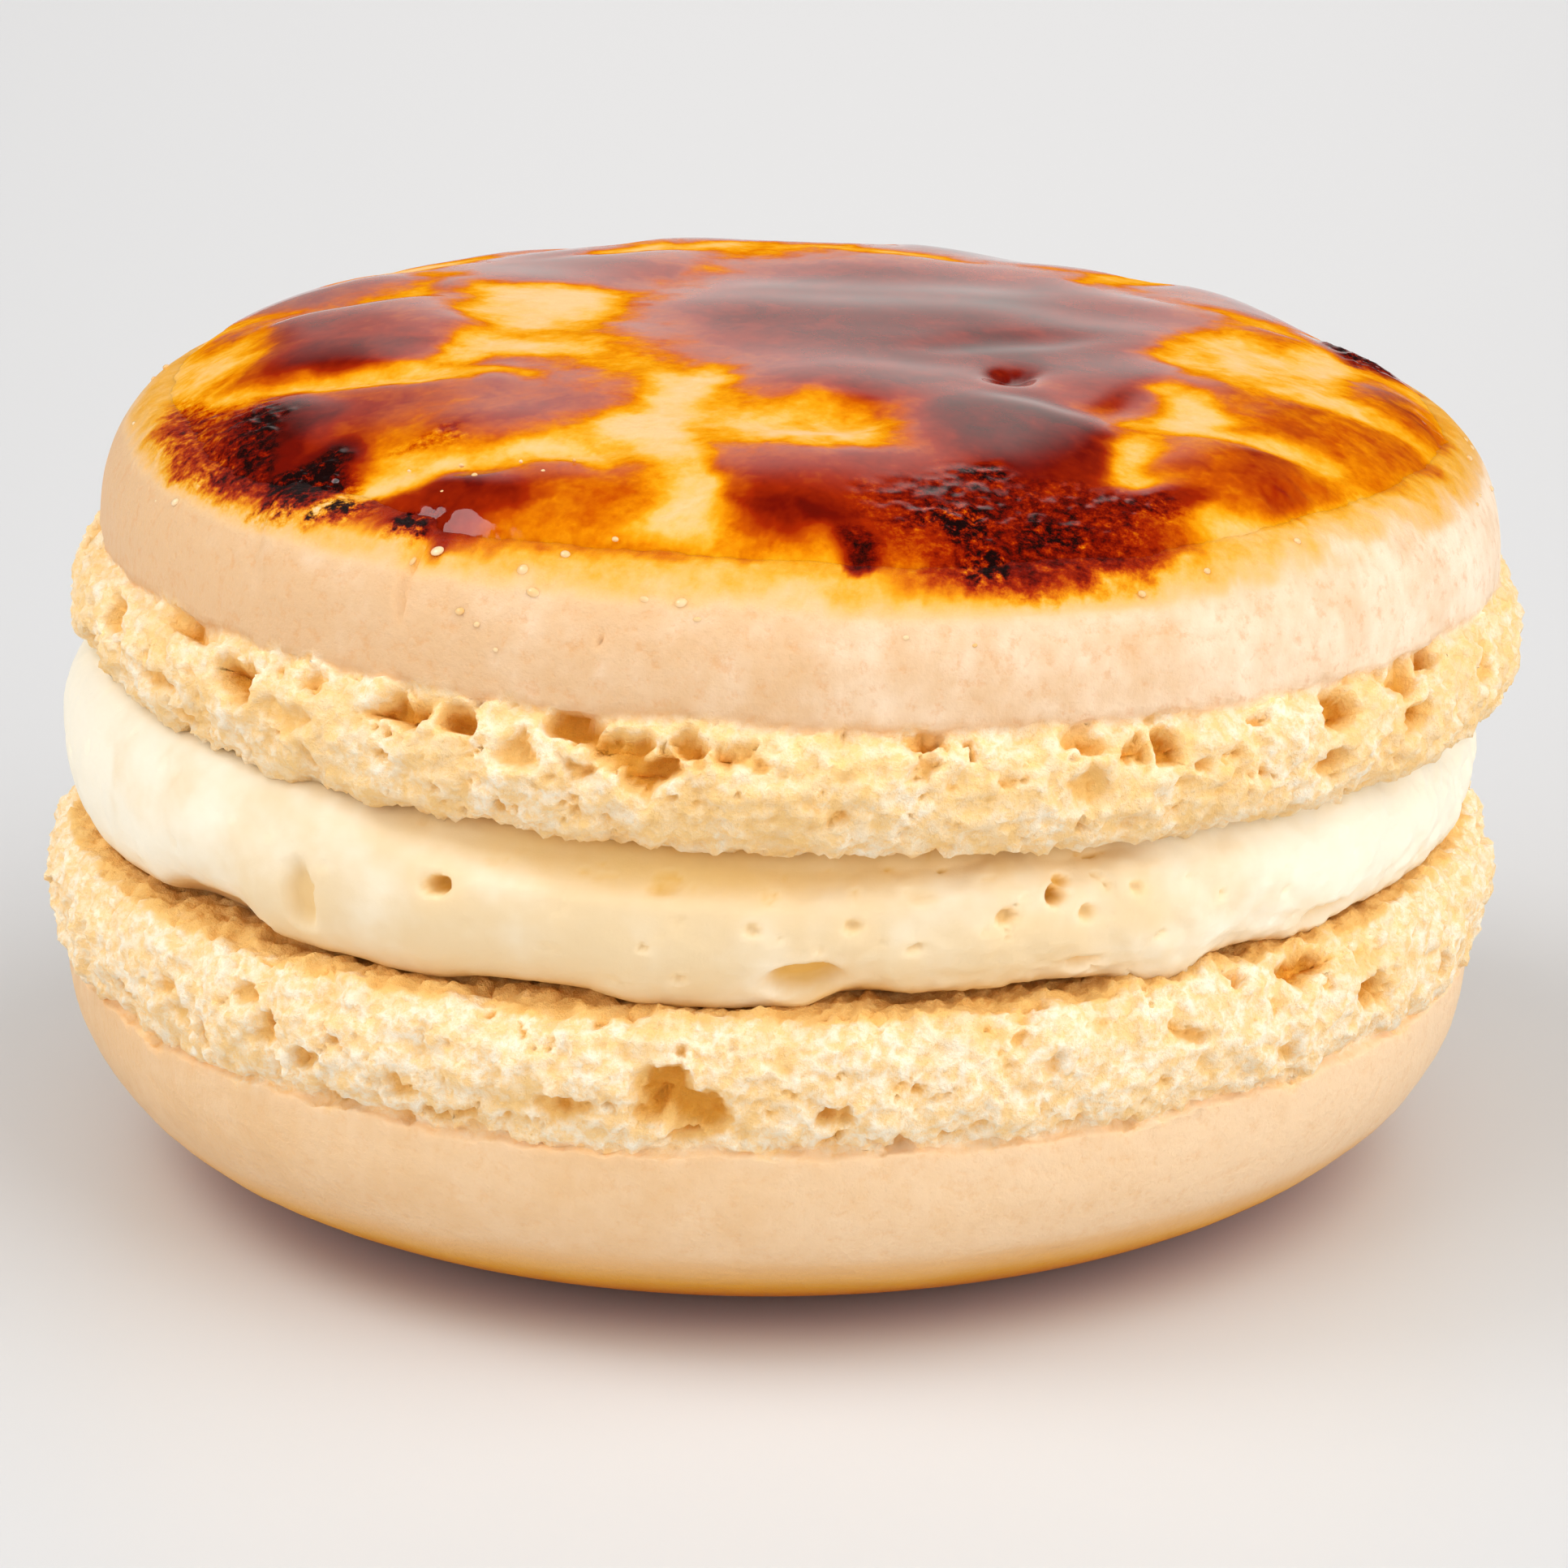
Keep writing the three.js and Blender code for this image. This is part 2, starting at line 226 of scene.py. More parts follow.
def turned(name, outline, steps):
    """Spins an outline, given as pairs of radius and height in millimetres, a full turn round Z."""
    bpy.ops.object.select_all(action="DESELECT")
    bpy.ops.mesh.primitive_circle_add(vertices=3, radius=MM)
    piece = bpy.context.object
    piece.name = piece.data.name = name
    bpy.ops.object.mode_set(mode="EDIT")
    bpy.ops.mesh.select_all(action="SELECT")
    bpy.ops.mesh.merge(type="CENTER")
    at = (0.0, 0.0)
    for number, (r, z) in enumerate(outline):
        way = ((r - at[0]) * MM, 0, (z - at[1]) * MM)
        if number == 0:
            bpy.ops.transform.translate(value=way)
        else:
            bpy.ops.mesh.extrude_vertices_move(TRANSFORM_OT_translate={"value": way})
        at = (r, z)
    bpy.ops.object.mode_set(mode="OBJECT")
    spin = piece.modifiers.new("full turn", "SCREW")
    spin.steps = spin.render_steps = steps
    spin.use_merge_vertices = True
    spin.merge_threshold = MERGE_GAP / 2
    finish_step(piece, spin)
    bpy.ops.object.mode_set(mode="EDIT")
    bpy.ops.mesh.select_all(action="SELECT")
    bpy.ops.mesh.remove_doubles(threshold=MERGE_GAP)
    bpy.ops.mesh.normals_make_consistent(inside=False)
    bpy.ops.object.mode_set(mode="OBJECT")
    bpy.ops.object.shade_smooth()
    print(name, "turned with", len(piece.data.polygons), "faces")
    return piece


# %% Move the points of a piece by a sum
def reshape(piece, title, rule):
    """Applies one Geometry Nodes step. The rule gives the new places in millimetres, and marks to keep."""
    tree = bpy.data.node_groups.new(title, "GeometryNodeTree")
    for way in ("INPUT", "OUTPUT"):
        tree.interface.new_socket("Geometry", in_out=way, socket_type="NodeSocketGeometry")
    nodes = Nodes(tree)
    shape = nodes.add("NodeGroupInput")
    place = nodes.times(nodes.add("GeometryNodeInputPosition"), 1 / MM)
    moved, marks = rule(nodes, place, nodes.add("GeometryNodeInputNormal"))
    keep = tree.nodes.new("GeometryNodeCaptureAttribute")
    nodes.plug(keep.inputs["Geometry"], shape)
    for name, value in {"moved": moved, **marks}.items():
        keep.capture_items.new("VECTOR" if name == "moved" else "FLOAT", name)
        nodes.plug(keep.inputs[name], value)
    shape = Wire(nodes, keep.outputs["Geometry"])
    for name in marks:
        inputs = {"Geometry": shape, "Name": name, "Value": Wire(nodes, keep.outputs[name])}
        shape = nodes.add("GeometryNodeStoreNamedAttribute", {"data_type": "FLOAT"}, inputs)
    inputs = {"Geometry": shape, "Position": nodes.times(Wire(nodes, keep.outputs["moved"]), MM)}
    shape = nodes.add("GeometryNodeSetPosition", None, inputs)
    nodes.plug(tree.nodes.new("NodeGroupOutput").inputs[0], shape)
    step = piece.modifiers.new(title, "NODES")
    step.node_group = tree
    finish_step(piece, step)
    bpy.data.node_groups.remove(tree)


# %% A soft oval, as one node
def soft_oval():
    """A node group that goes from an outside value to an inside value across the edge of an ellipsoid."""
    tree = bpy.data.node_groups.new("soft oval", "GeometryNodeTree")
    for name in ("Place", "Middle", "Along", "Beside", "Through"):
        tree.interface.new_socket(name, in_out="INPUT", socket_type="NodeSocketVector")
    for name in ("Edge", "Core", "Outside", "Inside"):
        tree.interface.new_socket(name, in_out="INPUT", socket_type="NodeSocketFloat")
    tree.interface.new_socket("Value", in_out="OUTPUT", socket_type="NodeSocketFloat")
    nodes = Nodes(tree)
    given = {socket.name: Wire(nodes, socket) for socket in tree.nodes.new("NodeGroupInput").outputs}
    away = nodes.vector("SUBTRACT", given["Place"], given["Middle"])
    shares = [nodes.vector("DOT_PRODUCT", away, given[way], out=1) for way in ("Along", "Beside", "Through")]
    far = shares[0] * shares[0] + shares[1] * shares[1] + shares[2] * shares[2]
    value = nodes.ease(far, given["Edge"], given["Core"], given["Outside"], given["Inside"])
    nodes.plug(tree.nodes.new("NodeGroupOutput").inputs[0], value)
    return tree


SOFT_OVAL = soft_oval()
print("a soft oval is", len(SOFT_OVAL.nodes), "nodes")


def oval(nodes, place, middle, half_axes, fade, values):
    """One soft oval. The fade is its edge and core, as squared shares of its half axes."""
    ways = [axis / axis.length_squared for axis in half_axes]
    inputs = {"Place": place, "Middle": middle, "Edge": fade[0], "Core": fade[1]}
    inputs.update(zip(("Along", "Beside", "Through"), ways))
    inputs.update(zip(("Outside", "Inside"), values))
    return nodes.add("GeometryNodeGroup", {"node_tree": SOFT_OVAL}, inputs)


def highest(values):
    top = values[0]
    for value in values[1:]:
        top = top.maths("MAXIMUM", value)
    return top


# %% Places and marks on a round wall
def on_wall(degrees, height, radius):
    """A point on a round wall, at an angle from the front, positive to the right."""
    turn = math.radians(degrees)
    return Vector((radius * math.sin(turn), -radius * math.cos(turn), height))


def dents(nodes, place, marks, radius):
    """The deepest of many dents, each an angle, a height, half a width, half a height and a depth."""
    ovals = []
    for degrees, height, half_width, half_height, depth in marks:
        middle = on_wall(degrees, height, radius)
        across = on_wall(degrees + 90, 0, half_width)
        half_axes = (across, Vector((0, 0, half_height)), on_wall(degrees, 0, half_width))
        ovals.append(oval(nodes, place, middle, half_axes, (1.25, 0.2), (0.0, depth)))
    return highest(ovals)


def from_axis(nodes, place):
    return nodes.vector("LENGTH", nodes.vector("MULTIPLY", place, (1.0, 1.0, 0.0)), out=1)


def round_curve(nodes, place, points):
    """A smooth curve of height against the angle from the front, through the given points."""
    x, y, _ = nodes.axes(place)
    share = x.maths("ARCTAN2", y * -1) / (2 * math.pi) + 0.5
    low = min(height for _, height in points)
    high = max(height for _, height in points)
    bends = [(degrees / 360 + 0.5, (height - low) / (high - low)) for degrees, height in points]
    return nodes.add("ShaderNodeFloatCurve", {"points": bends}, {"Value": share}) * (high - low) + low


# %% [markdown]
# ## The crumb of the feet
# While a shell bakes, its cap dries first and the wet batter is pushed out under it as a frilly foot. The
# foot is open crumb: clumps of grains, pores between them, and here and there a torn hole. It could be an
# image, but it shows in the outline, so it is real relief: clumps, grains and pores by noise, and the holes
# that the photo shows as named marks. Random holes in the same style go on round the sides and back.

# %% Crumb relief
CLUMP_SIZE = 1.7
GRAIN_SIZE = 0.55
PORE_SIZE = 0.75


def crumb(nodes, place, holes, radius, seed):
    """How far the crumb stands in, in millimetres."""
    stirred = nodes.stirred(nodes.stirred(place, 1.6, 1.1, seed), 0.45, 0.42, seed + 1)
    clumps = nodes.noise(stirred, CLUMP_SIZE, 6.0, 0.68, seed) * -1.6
    grains = nodes.cells(stirred, GRAIN_SIZE, seed) * 0.24
    pores = nodes.ease(nodes.noise(stirred, PORE_SIZE, 3.0, 0.6, seed + 3), 0.08, 0.22, 0.0, 0.4)
    torn = dents(nodes, nodes.stirred(stirred, 0.7, 0.8, seed + 5), holes, radius)
    return clumps + grains + pores + torn - 0.16


def seam(nodes, place, z, rim):
    """Up and down wobble of the line between cap and foot, in millimetres."""
    near = nodes.ease((z - rim).maths("ABSOLUTE"), 1.3, 0.2)
    return nodes.join(0.0, 0.0, nodes.noise(place, 1.8, 4.0, 0.66, 27.0) * near * 1.1)


def patterns(nodes, place, sweet, pale):
    """How pale the skin is and how honeyed the crumb is, from place to place."""
    x, _, _ = nodes.axes(place)
    cloudy = nodes.noise(place, 3.4, 5.0, 0.66, 1.0) * 0.9 + nodes.noise(place, 0.8, 3.0, 0.6, 16.0) * 0.5
    # The x term makes the skin paler towards the right: painted light from the right-hand side.
    tan = nodes.ease(cloudy + x * 0.013 + pale, -0.3, 0.36)
    honey = nodes.ease(nodes.noise(place, 1.9, 4.0, 0.6, 9.0) + sweet, -0.04, 0.2)
    dots = nodes.ease(nodes.noise(place, 0.7, 2.0, 0.6, 5.0), 0.2, 0.32)
    return {"tan": tan, "honey": honey, "dots": dots}


def more_holes(seed, low, high, number):
    """Holes for the stretch of a foot that the photo doesn't show."""
    draw = random.Random(seed)
    holes = []
    for _ in range(number):
        size = draw.uniform(0.35, 1.0)
        shape = (size, size * draw.uniform(0.45, 0.8), draw.uniform(0.4, 0.9))
        holes.append((draw.uniform(72, 290), draw.uniform(low, high), *shape))
    return holes


# %% Outlines of caps and feet
def cap_outline(inner, rim, across, up, steps):
    """Half outline of a domed cap, from its inner radius at full height out to its rim at none."""
    points = []
    for step in range(steps + 1):
        turn = (1 - step / steps) * math.pi / 2
        r = inner + (rim[0] - inner) * max(0.0, math.cos(turn)) ** (2 / across)
        points.append((r, rim[1] * math.sin(turn) ** (2 / up)))
    return points


def thinned(points, gap):
    """The points of a fine curve that lie at least a gap apart. The gap is worked out from the point."""
    kept = [points[0]]
    for point in points[1:-1]:
        if math.dist(point, kept[-1]) >= gap(point):
            kept.append(point)
    return [*kept, points[-1]]


def stretch(corners, row):
    """Points along straight lines between the corners, about a row apart."""
    points = [corners[0]]
    for (r0, z0), (r1, z1) in zip(corners, corners[1:]):
        count = max(1, round(math.hypot(r1 - r0, z1 - z0) / row))
        for step in range(1, count + 1):
            share = step / count
            points.append((r0 + (r1 - r0) * share, z0 + (z1 - z0) * share))
    return points


# %% [markdown]
# ## Lower shell
# The lower shell lies on its cap, so the cap is a shallow bowl with a flat middle that the macaron stands
# on. Its profile was fitted to the photo: a curve between a circle and a square. The foot above it swells
# past the cap, with a dark groove where the two meet.

# %% Lower shell
REST_RADIUS = 13.2
LOWER_RIM = (22.25, 6.84)
LOWER_TOP = 10.95
FOOT_ROW = 0.14
LOWER_STEPS = 1030

LOWER_HOLES = [
    (-58.1, 8.21, 0.75, 0.42, 0.6), (-46.7, 7.93, 0.5, 0.4, 0.5), (-42.4, 9.72, 0.55, 0.42, 0.5),
    (-40.5, 9.02, 0.58, 0.55, 0.55), (-36.3, 8.51, 0.7, 0.48, 0.5), (-27.9, 8.22, 0.55, 0.48, 0.5),
    (-25.3, 7.25, 0.6, 0.5, 0.9), (-22.8, 7.62, 0.4, 0.3, 0.5), (-15.0, 8.2, 1.05, 0.42, 0.5),
    (-7.2, 8.95, 1.0, 0.75, 0.8), (-5.2, 8.4, 1.1, 0.95, 0.85), (-8.6, 8.3, 0.6, 0.5, 0.6),
    (-5.9, 7.35, 0.72, 0.4, 0.8), (5.3, 8.16, 0.55, 0.38, 0.6), (18.4, 9.94, 0.45, 0.3, 0.4),
    (20.9, 9.24, 0.5, 0.3, 0.4), (12.7, 7.05, 0.5, 0.28, 0.7), (9.2, 7.0, 0.5, 0.24, 0.7),
    (23.0, 7.2, 0.6, 0.3, 0.6), (44.9, 10.45, 1.05, 0.6, 0.95), (52.6, 8.92, 0.85, 0.6, 0.9),
    (36.7, 10.9, 0.75, 0.35, 0.7), (42.3, 8.15, 0.45, 0.4, 0.45), (64.1, 8.32, 0.7, 0.55, 0.6),
    (33.0, 9.6, 0.5, 0.4, 0.45), (-52.0, 9.3, 0.6, 0.4, 0.45),
]


def lower_rule(nodes, place, normal):
    across = from_axis(nodes, place)
    _, _, z = nodes.axes(place)
    edge = z + nodes.noise(place, 2.4, 4.0, 0.65, 21.0) * 0.9
    in_foot = nodes.ease(edge, LOWER_RIM[1] - 0.02, LOWER_RIM[1] + 0.3) * nodes.ease(across, 18.5, 20.5)
    depth = crumb(nodes, place, LOWER_HOLES + more_holes(5, 7.4, 10.4, 34), 22.5, 21.3)
    skin = nodes.noise(place, 7.0, 2.0, 0.5, 2.0) * -0.3 + nodes.noise(place, 0.7, 2.0, 0.5, 4.0) * 0.07
    inward = depth * in_foot + skin * (1 - in_foot) * nodes.ease(z, 0.0, 1.2) * nodes.ease(across, 18.0, 20.0)
    moved = nodes.vector("SUBTRACT", place, nodes.times(normal, inward))
    moved = nodes.vector("ADD", moved, seam(nodes, place, z, LOWER_RIM[1]))
    # Painted shade: the top of the lower foot, just under the cream, is marked darker gold.
    shade_under_cream = nodes.ease(z + nodes.noise(place, 0.9, 3.0, 0.6, 3.0) * 0.5, 10.7, 10.98, 0.0, 0.7)
    marks = {
        # Paleness 0.12 here, against -0.1 on the upper shell, is painted light: it brightens the lower shell,
        # which lies in the table's shade.
        **patterns(nodes, place, -0.03, 0.12),
        "crumb": in_foot,
        # Deeper crumb is marked darker gold: painted shade in its recesses.
        "hollow": nodes.ease(depth, -0.15, 0.8).maths("MAXIMUM", shade_under_cream) * in_foot,
        # A baked tone of 0.07 all over; the rise to 0.5 at the table is painted warm shade where the shell
        # meets the table.
        "toast": nodes.ease(z, 3.6, 0.3, 0.07, 0.5),
    }
    return moved, marks


rim_r, rim_z = LOWER_RIM
lower_cap = [(r, rim_z - h) for r, h in cap_outline(REST_RADIUS, LOWER_RIM, 2.03, 2.25, 400)]
lower_cap = thinned(lower_cap, lambda point: 0.3)
lower_foot = [
    (rim_r, rim_z), (21.95, 6.98), (22.3, 7.3), (22.62, 8.0), (22.75, 8.9), (22.7, 9.7),
    (22.45, 10.4), (22.0, 10.85), (21.3, LOWER_TOP), (19.0, LOWER_TOP),
]
lower_outline = [(0, 0), (6.0, 0), *lower_cap, *stretch(lower_foot, FOOT_ROW)[1:], (0, LOWER_TOP)]
lower_shell = turned("lower_shell", lower_outline, LOWER_STEPS)
reshape(lower_shell, "lower crumb and skin", lower_rule)

# %% [markdown]
# ## Cream
# The filling is a thick band of whipped cream, pressed to the edge of the shells. It is smooth at the left,
# where the piping bag left it, and whipped and torn at the right. Its lower edge waves up and down, which
# leaves dark gaps over the foot. That edge is a curve of height against the angle, read from the photo.

# %% Cream
CREAM_BOTTOM = 10.9
CREAM_TOP = 15.72
CREAM_STEPS = 960
LEAN = 0.034
UPPER_X = 0.87

CREAM_LOWER_EDGE = [
    (-180, 11.0), (-140, 11.5), (-100, 11.0), (-67, 10.95), (-56, 11.6), (-48, 11.95), (-43, 11.3),
    (-33, 11.15), (-28, 11.0), (-22, 11.35), (-14, 11.3), (-9, 10.95), (2, 10.95), (7, 11.5),
    (11, 11.25), (18, 11.3), (28, 10.9), (33, 10.7), (37, 11.2), (43, 11.05), (49, 10.8), (53, 11.1),
    (60, 10.8), (90, 11.1), (130, 11.4), (180, 11.0),
]
CREAM_DENTS = [
    (-2.0, 16.2, 12.0, 1.9, 0.5), (22.0, 16.1, 5.0, 1.7, 0.42), (-25.1, 14.29, 0.46, 0.3, 0.9),
    (-7.7, 14.84, 0.75, 0.36, 0.5), (-15.4, 14.72, 1.9, 0.12, 0.2), (-6.4, 12.08, 0.32, 0.22, 0.4),
    (-9.0, 13.05, 0.16, 0.14, 0.25), (-1.0, 13.71, 0.26, 0.2, 0.25), (-9.0, 15.6, 0.5, 0.2, 0.4),
    (22.6, 14.75, 0.42, 0.42, 1.1), (21.8, 14.25, 0.38, 0.4, 1.1), (17.7, 13.7, 0.36, 0.32, 0.5),
    (6.2, 13.72, 0.3, 0.2, 0.3), (28.4, 14.1, 0.28, 0.2, 0.3), (24.0, 11.94, 0.6, 0.3, 0.5),
    (11.5, 14.67, 0.7, 0.4, 0.25), (2.8, 11.9, 1.3, 0.72, 0.7), (-37.5, 12.96, 0.6, 1.4, 0.4),
    (48.9, 11.5, 1.3, 0.42, 0.4), (24.2, 13.56, 0.3, 0.25, 0.4), (95, 13.9, 0.5, 0.35, 0.8),
    (118, 12.6, 1.0, 0.5, 0.4), (147, 14.4, 0.45, 0.35, 0.8), (171, 13.2, 0.7, 0.5, 0.5),
    (203, 14.6, 0.9, 0.3, 0.4), (214, 12.4, 0.4, 0.3, 0.8), (243, 13.6, 0.6, 1.2, 0.4),
    (268, 14.5, 0.4, 0.3, 0.8),
]


def cream_rule(nodes, place, normal):
    across = from_axis(nodes, place)
    x, y, z = nodes.axes(place)
    share = (z - CREAM_BOTTOM) / (CREAM_TOP - CREAM_BOTTOM)
    on_edge = nodes.ease(across, 19.5, 21.2)
    low = round_curve(nodes, place, CREAM_LOWER_EDGE) * on_edge + (1 - on_edge) * LOWER_TOP
    high = CREAM_TOP - (x - UPPER_X) * LEAN
    level = nodes.join(x + 0.07, y, low + share * (high - low))
    whipped = nodes.ease(x, -6.0, 9.0, 0.25, 1.0)
    stirred = nodes.stirred(level, 2.2, 1.2, 7.0)
    swell = nodes.noise(level, 9.0, 2.0, 0.5, 3.0) * 0.7
    folds = nodes.noise(stirred, 2.6, 4.0, 0.6, 5.0) * whipped * 1.1
    pits = nodes.ease(nodes.noise(stirred, 0.8, 2.0, 0.5, 9.0), 0.14, 0.25, 0.0, 0.4) * whipped
    torn = dents(nodes, nodes.stirred(level, 0.8, 0.3, 2.0), CREAM_DENTS, 22.2)
    outward = (swell + folds - pits - torn) * on_edge * nodes.ease(across, 20.4, 21.6)
    moved = nodes.vector("ADD", level, nodes.times(normal, outward))
    # Painted shade: the dents, the pits and the lowest tenth of the band are marked for a darker gold.
    deep = nodes.ease(torn + pits, 0.05, 0.8).maths("MAXIMUM", nodes.ease(share, 0.1, 0.0, 0.0, 0.7))
    return moved, {"hollow": deep, "whipped": whipped}


cream_wall = []
for row in range(41):
    share = row / 40
    r = 20.9 + 1.3 * math.sin(math.pi * share) ** 0.5
    cream_wall.append((r, CREAM_BOTTOM + share * (CREAM_TOP - CREAM_BOTTOM)))
cream_inside = stretch([(19.0, CREAM_BOTTOM), (20.9, CREAM_BOTTOM)], 0.25)[:-1]
cream_lid = stretch([(20.9, CREAM_TOP), (19.0, CREAM_TOP)], 0.25)[1:]
cream_outline = [(0, CREAM_BOTTOM), *cream_inside, *cream_wall, *cream_lid, (0, CREAM_TOP)]
cream = turned("whipped_cream", cream_outline, CREAM_STEPS)
reshape(cream, "folds and dents of the cream", cream_rule)

# %% [markdown]
# ## Where the sugar lies, and how burnt it is
# The sugar melted into pools that run into each other. Thin sugar is gold, thicker sugar is amber, then
# red-brown, and where the torch dwelt it is black. All of this is one number here, the toast, from 0 for
# bare shell to 1 for charcoal. It is the highest of many soft ovals, each placed as in the photo, with
# stirred edges. The same sum shapes the sugar and stains the shell under it, so that the two agree.

# %% Pools, bare crater and burns
SUGAR_EDGE = [
    (-180, 20.3), (-150, 20.0), (-120, 20.5), (-100, 20.4), (-86, 20.2), (-64, 20.9), (-52, 20.9),
    (-43, 20.5), (-33, 20.5), (-26, 20.4), (-15, 20.3), (-8, 20.1), (0, 20.25), (13, 20.75),
    (22, 20.65), (30, 20.35), (40, 19.95), (48, 19.6), (60, 19.8), (68, 20.0), (80, 20.3), (95, 20.3),
    (120, 20.5), (150, 20.1), (180, 20.3),
]
# x, y, half length, half width, turn in degrees, toast and rise in millimetres
POOLS = [
    (3.7, 1.0, 8.6, 9.6, 0, 0.80, 0.30), (9.3, -4.5, 3.7, 4.4, 0, 0.74, 0.36),
    (2.6, -7.6, 4.6, 3.4, 0, 0.74, 0.30), (6.0, -11.6, 3.2, 4.6, 0, 0.82, 0.40),
    (-1.6, -16.4, 3.9, 2.8, -8, 0.58, 0.28), (0.1, -16.6, 3.3, 2.6, 0, 0.66, 0.32),
    (-0.4, -18.2, 2.1, 0.9, 0, 0.78, 0.30), (1.9, -15.4, 1.9, 1.8, 20, 0.70, 0.34),
    (5.6, -17.2, 4.6, 2.8, 0, 0.74, 0.28), (1.35, -19.3, 0.85, 0.5, 0, 0.86, 0.30),
    (9.4, -15.5, 2.4, 1.0, 25, 0.74, 0.30), (9.4, -17.2, 3.6, 2.0, 18, 0.46, 0.15),
    (12.7, -12.4, 2.9, 2.0, 14, 0.56, 0.36), (13.0, -13.0, 1.5, 0.9, 14, 0.66, 0.36),
    (15.8, -7.6, 3.2, 2.6, 24, 0.52, 0.30), (17.9, -2.0, 1.7, 3.3, 0, 0.50, 0.26),
    (12.3, 0.4, 1.0, 2.2, 0, 0.40, 0.12), (14.8, 2.5, 1.5, 1.9, 0, 0.48, 0.22),
    (9.5, -9.4, 1.1, 1.9, 0, 0.5, 0.2), (-14.0, -1.6, 3.7, 4.2, -10, 0.66, 0.85),
    (-13.6, -4.4, 3.2, 1.5, 0, 0.78, 0.2), (-8.9, -9.3, 3.6, 4.0, 10, 0.60, 0.34),
    (-9.2, -11.2, 2.4, 1.2, 0, 0.66, 0.36), (-15.6, -9.9, 2.0, 2.6, 10, 0.84, 0.38),
    (-14.2, -12.6, 1.7, 1.4, -30, 0.9, 0.34), (-12.6, -9.6, 2.8, 2.6, 0, 0.58, 0.26),
    (-10.6, -16.1, 3.2, 1.5, -10, 0.76, 0.38), (-7.4, -16.8, 3.4, 2.1, -8, 0.54, 0.24),
    (-5.2, -18.6, 1.9, 1.3, -20, 0.42, 0.18), (-6.3, -2.6, 2.3, 3.2, 10, 0.40, 0.16),
    (-5.1, -8.2, 0.9, 1.7, 0, 0.46, 0.2), (-10.9, 3.8, 1.0, 2.3, 0, 0.62, 0.25),
    (-3.7, -19.6, 1.2, 0.6, -10, 0.46, 0.2), (-1.9, -19.85, 0.8, 0.35, 0, 0.42, 0.15),
    (-18.6, -7.6, 1.8, 3.4, 14, 0.56, 0.1), (-17.2, -11.6, 1.6, 1.7, 30, 0.66, 0.12),
    (-7.5, 8.6, 4.2, 4.2, 20, 0.72, 0.32), (-15.2, 6.6, 3.0, 3.2, 10, 0.6, 0.3),
    (-11.2, 14.4, 3.8, 2.4, 40, 0.66, 0.34), (-2.4, 15.6, 4.4, 3.0, 0, 0.64, 0.32),
    (6.6, 14.4, 4.6, 3.4, -15, 0.72, 0.34), (13.4, 9.4, 3.0, 3.6, 30, 0.62, 0.32),
    (17.6, 4.9, 1.6, 2.0, 0, 0.8, 0.2), (2.6, 18.9, 2.6, 0.9, -8, 0.72, 0.24),
    (-7.0, 18.0, 2.2, 1.0, 20, 0.76, 0.24), (12.2, 15.4, 2.2, 1.3, -50, 0.74, 0.28),
    (-17.6, 1.8, 1.8, 2.4, 0, 0.48, 0.22),
]
# x, y, half length, half width, turn in degrees and how pale
PALE = [
    (0.2, -11.7, 2.3, 1.9, 0, 0.6), (-12.2, -6.9, 3.8, 0.9, -12, 0.8), (-10.3, -4.4, 0.7, 2.2, 0, 0.8),
    (-8.4, 1.4, 2.3, 3.0, 0, 0.7), (-8.2, -4.5, 2.0, 0.9, 0, 0.6), (-4.2, -12.2, 1.0, 4.2, 3, 0.9),
    (-3.8, -17.3, 0.8, 2.0, 12, 0.9), (-7.3, -14.2, 2.6, 0.7, -4, 0.8),
    (-11.7, -14.3, 2.3, 0.45, 0, 0.8), (-3.3, -8.2, 0.6, 1.9, -20, 0.8),
    (12.6, -1.6, 2.0, 3.4, -8, 0.8), (11.6, -8.4, 0.9, 2.6, 16, 0.8), (12.8, -9.9, 2.7, 0.7, 0, 0.8),
    (9.3, -12.7, 0.6, 2.2, 0, 0.7), (12.7, -15.3, 1.7, 0.8, 35, 0.7), (16.2, 1.4, 1.0, 2.6, 0, 0.7),
    (16.0, -4.7, 2.2, 0.7, 0, 0.7), (-17.4, -1.6, 1.2, 2.0, 0, 0.5), (-12.6, 10.4, 0.7, 3.6, -38, 0.7),
    (-4.6, 11.6, 3.4, 0.7, 24, 0.8), (2.4, 11.4, 3.0, 0.6, -14, 0.6), (10.8, 11.2, 0.7, 3.8, -34, 0.6),
    (16.9, 8.4, 0.8, 2.8, 24, 0.7), (2.6, 16.4, 0.5, 2.0, 14, 0.6), (-7.0, 15.6, 0.6, 2.0, 34, 0.8),
]
# x, y, half length, half width, turn in degrees and how charred
CHARRED = [
    (5.8, -17.4, 4.4, 2.5, 4, 0.62), (4.0, -18.0, 1.6, 1.3, 0, 1.0), (5.0, -19.3, 0.9, 0.6, 0, 1.0),
    (5.0, -15.4, 0.8, 0.5, 0, 0.9), (7.4, -17.6, 1.5, 0.9, 20, 0.9), (-14.3, -12.9, 1.7, 1.0, -28, 1.1),
    (-14.7, -14.2, 2.4, 0.7, -24, 1.1), (-11.6, -16.7, 0.9, 0.6, 0, 1.1),
    (-18.3, -7.4, 1.4, 4.0, 12, 0.62), (-17.2, -10.8, 1.3, 2.2, 30, 0.75),
    (-16.4, -9.0, 0.7, 1.6, 10, 0.8), (17.5, 4.6, 0.7, 1.9, 18, 0.85), (8.9, -16.2, 2.0, 1.0, 20, 0.6),
    (-7.2, 18.3, 1.8, 0.6, 20, 0.9), (12.6, 15.7, 1.5, 0.7, -50, 0.9), (1.35, -19.3, 0.7, 0.4, 0, 0.55),
    (-10.6, -12.4, 1.0, 0.6, 20, 0.4), (-15.6, -13.7, 0.9, 0.3, -20, 1.0),
]
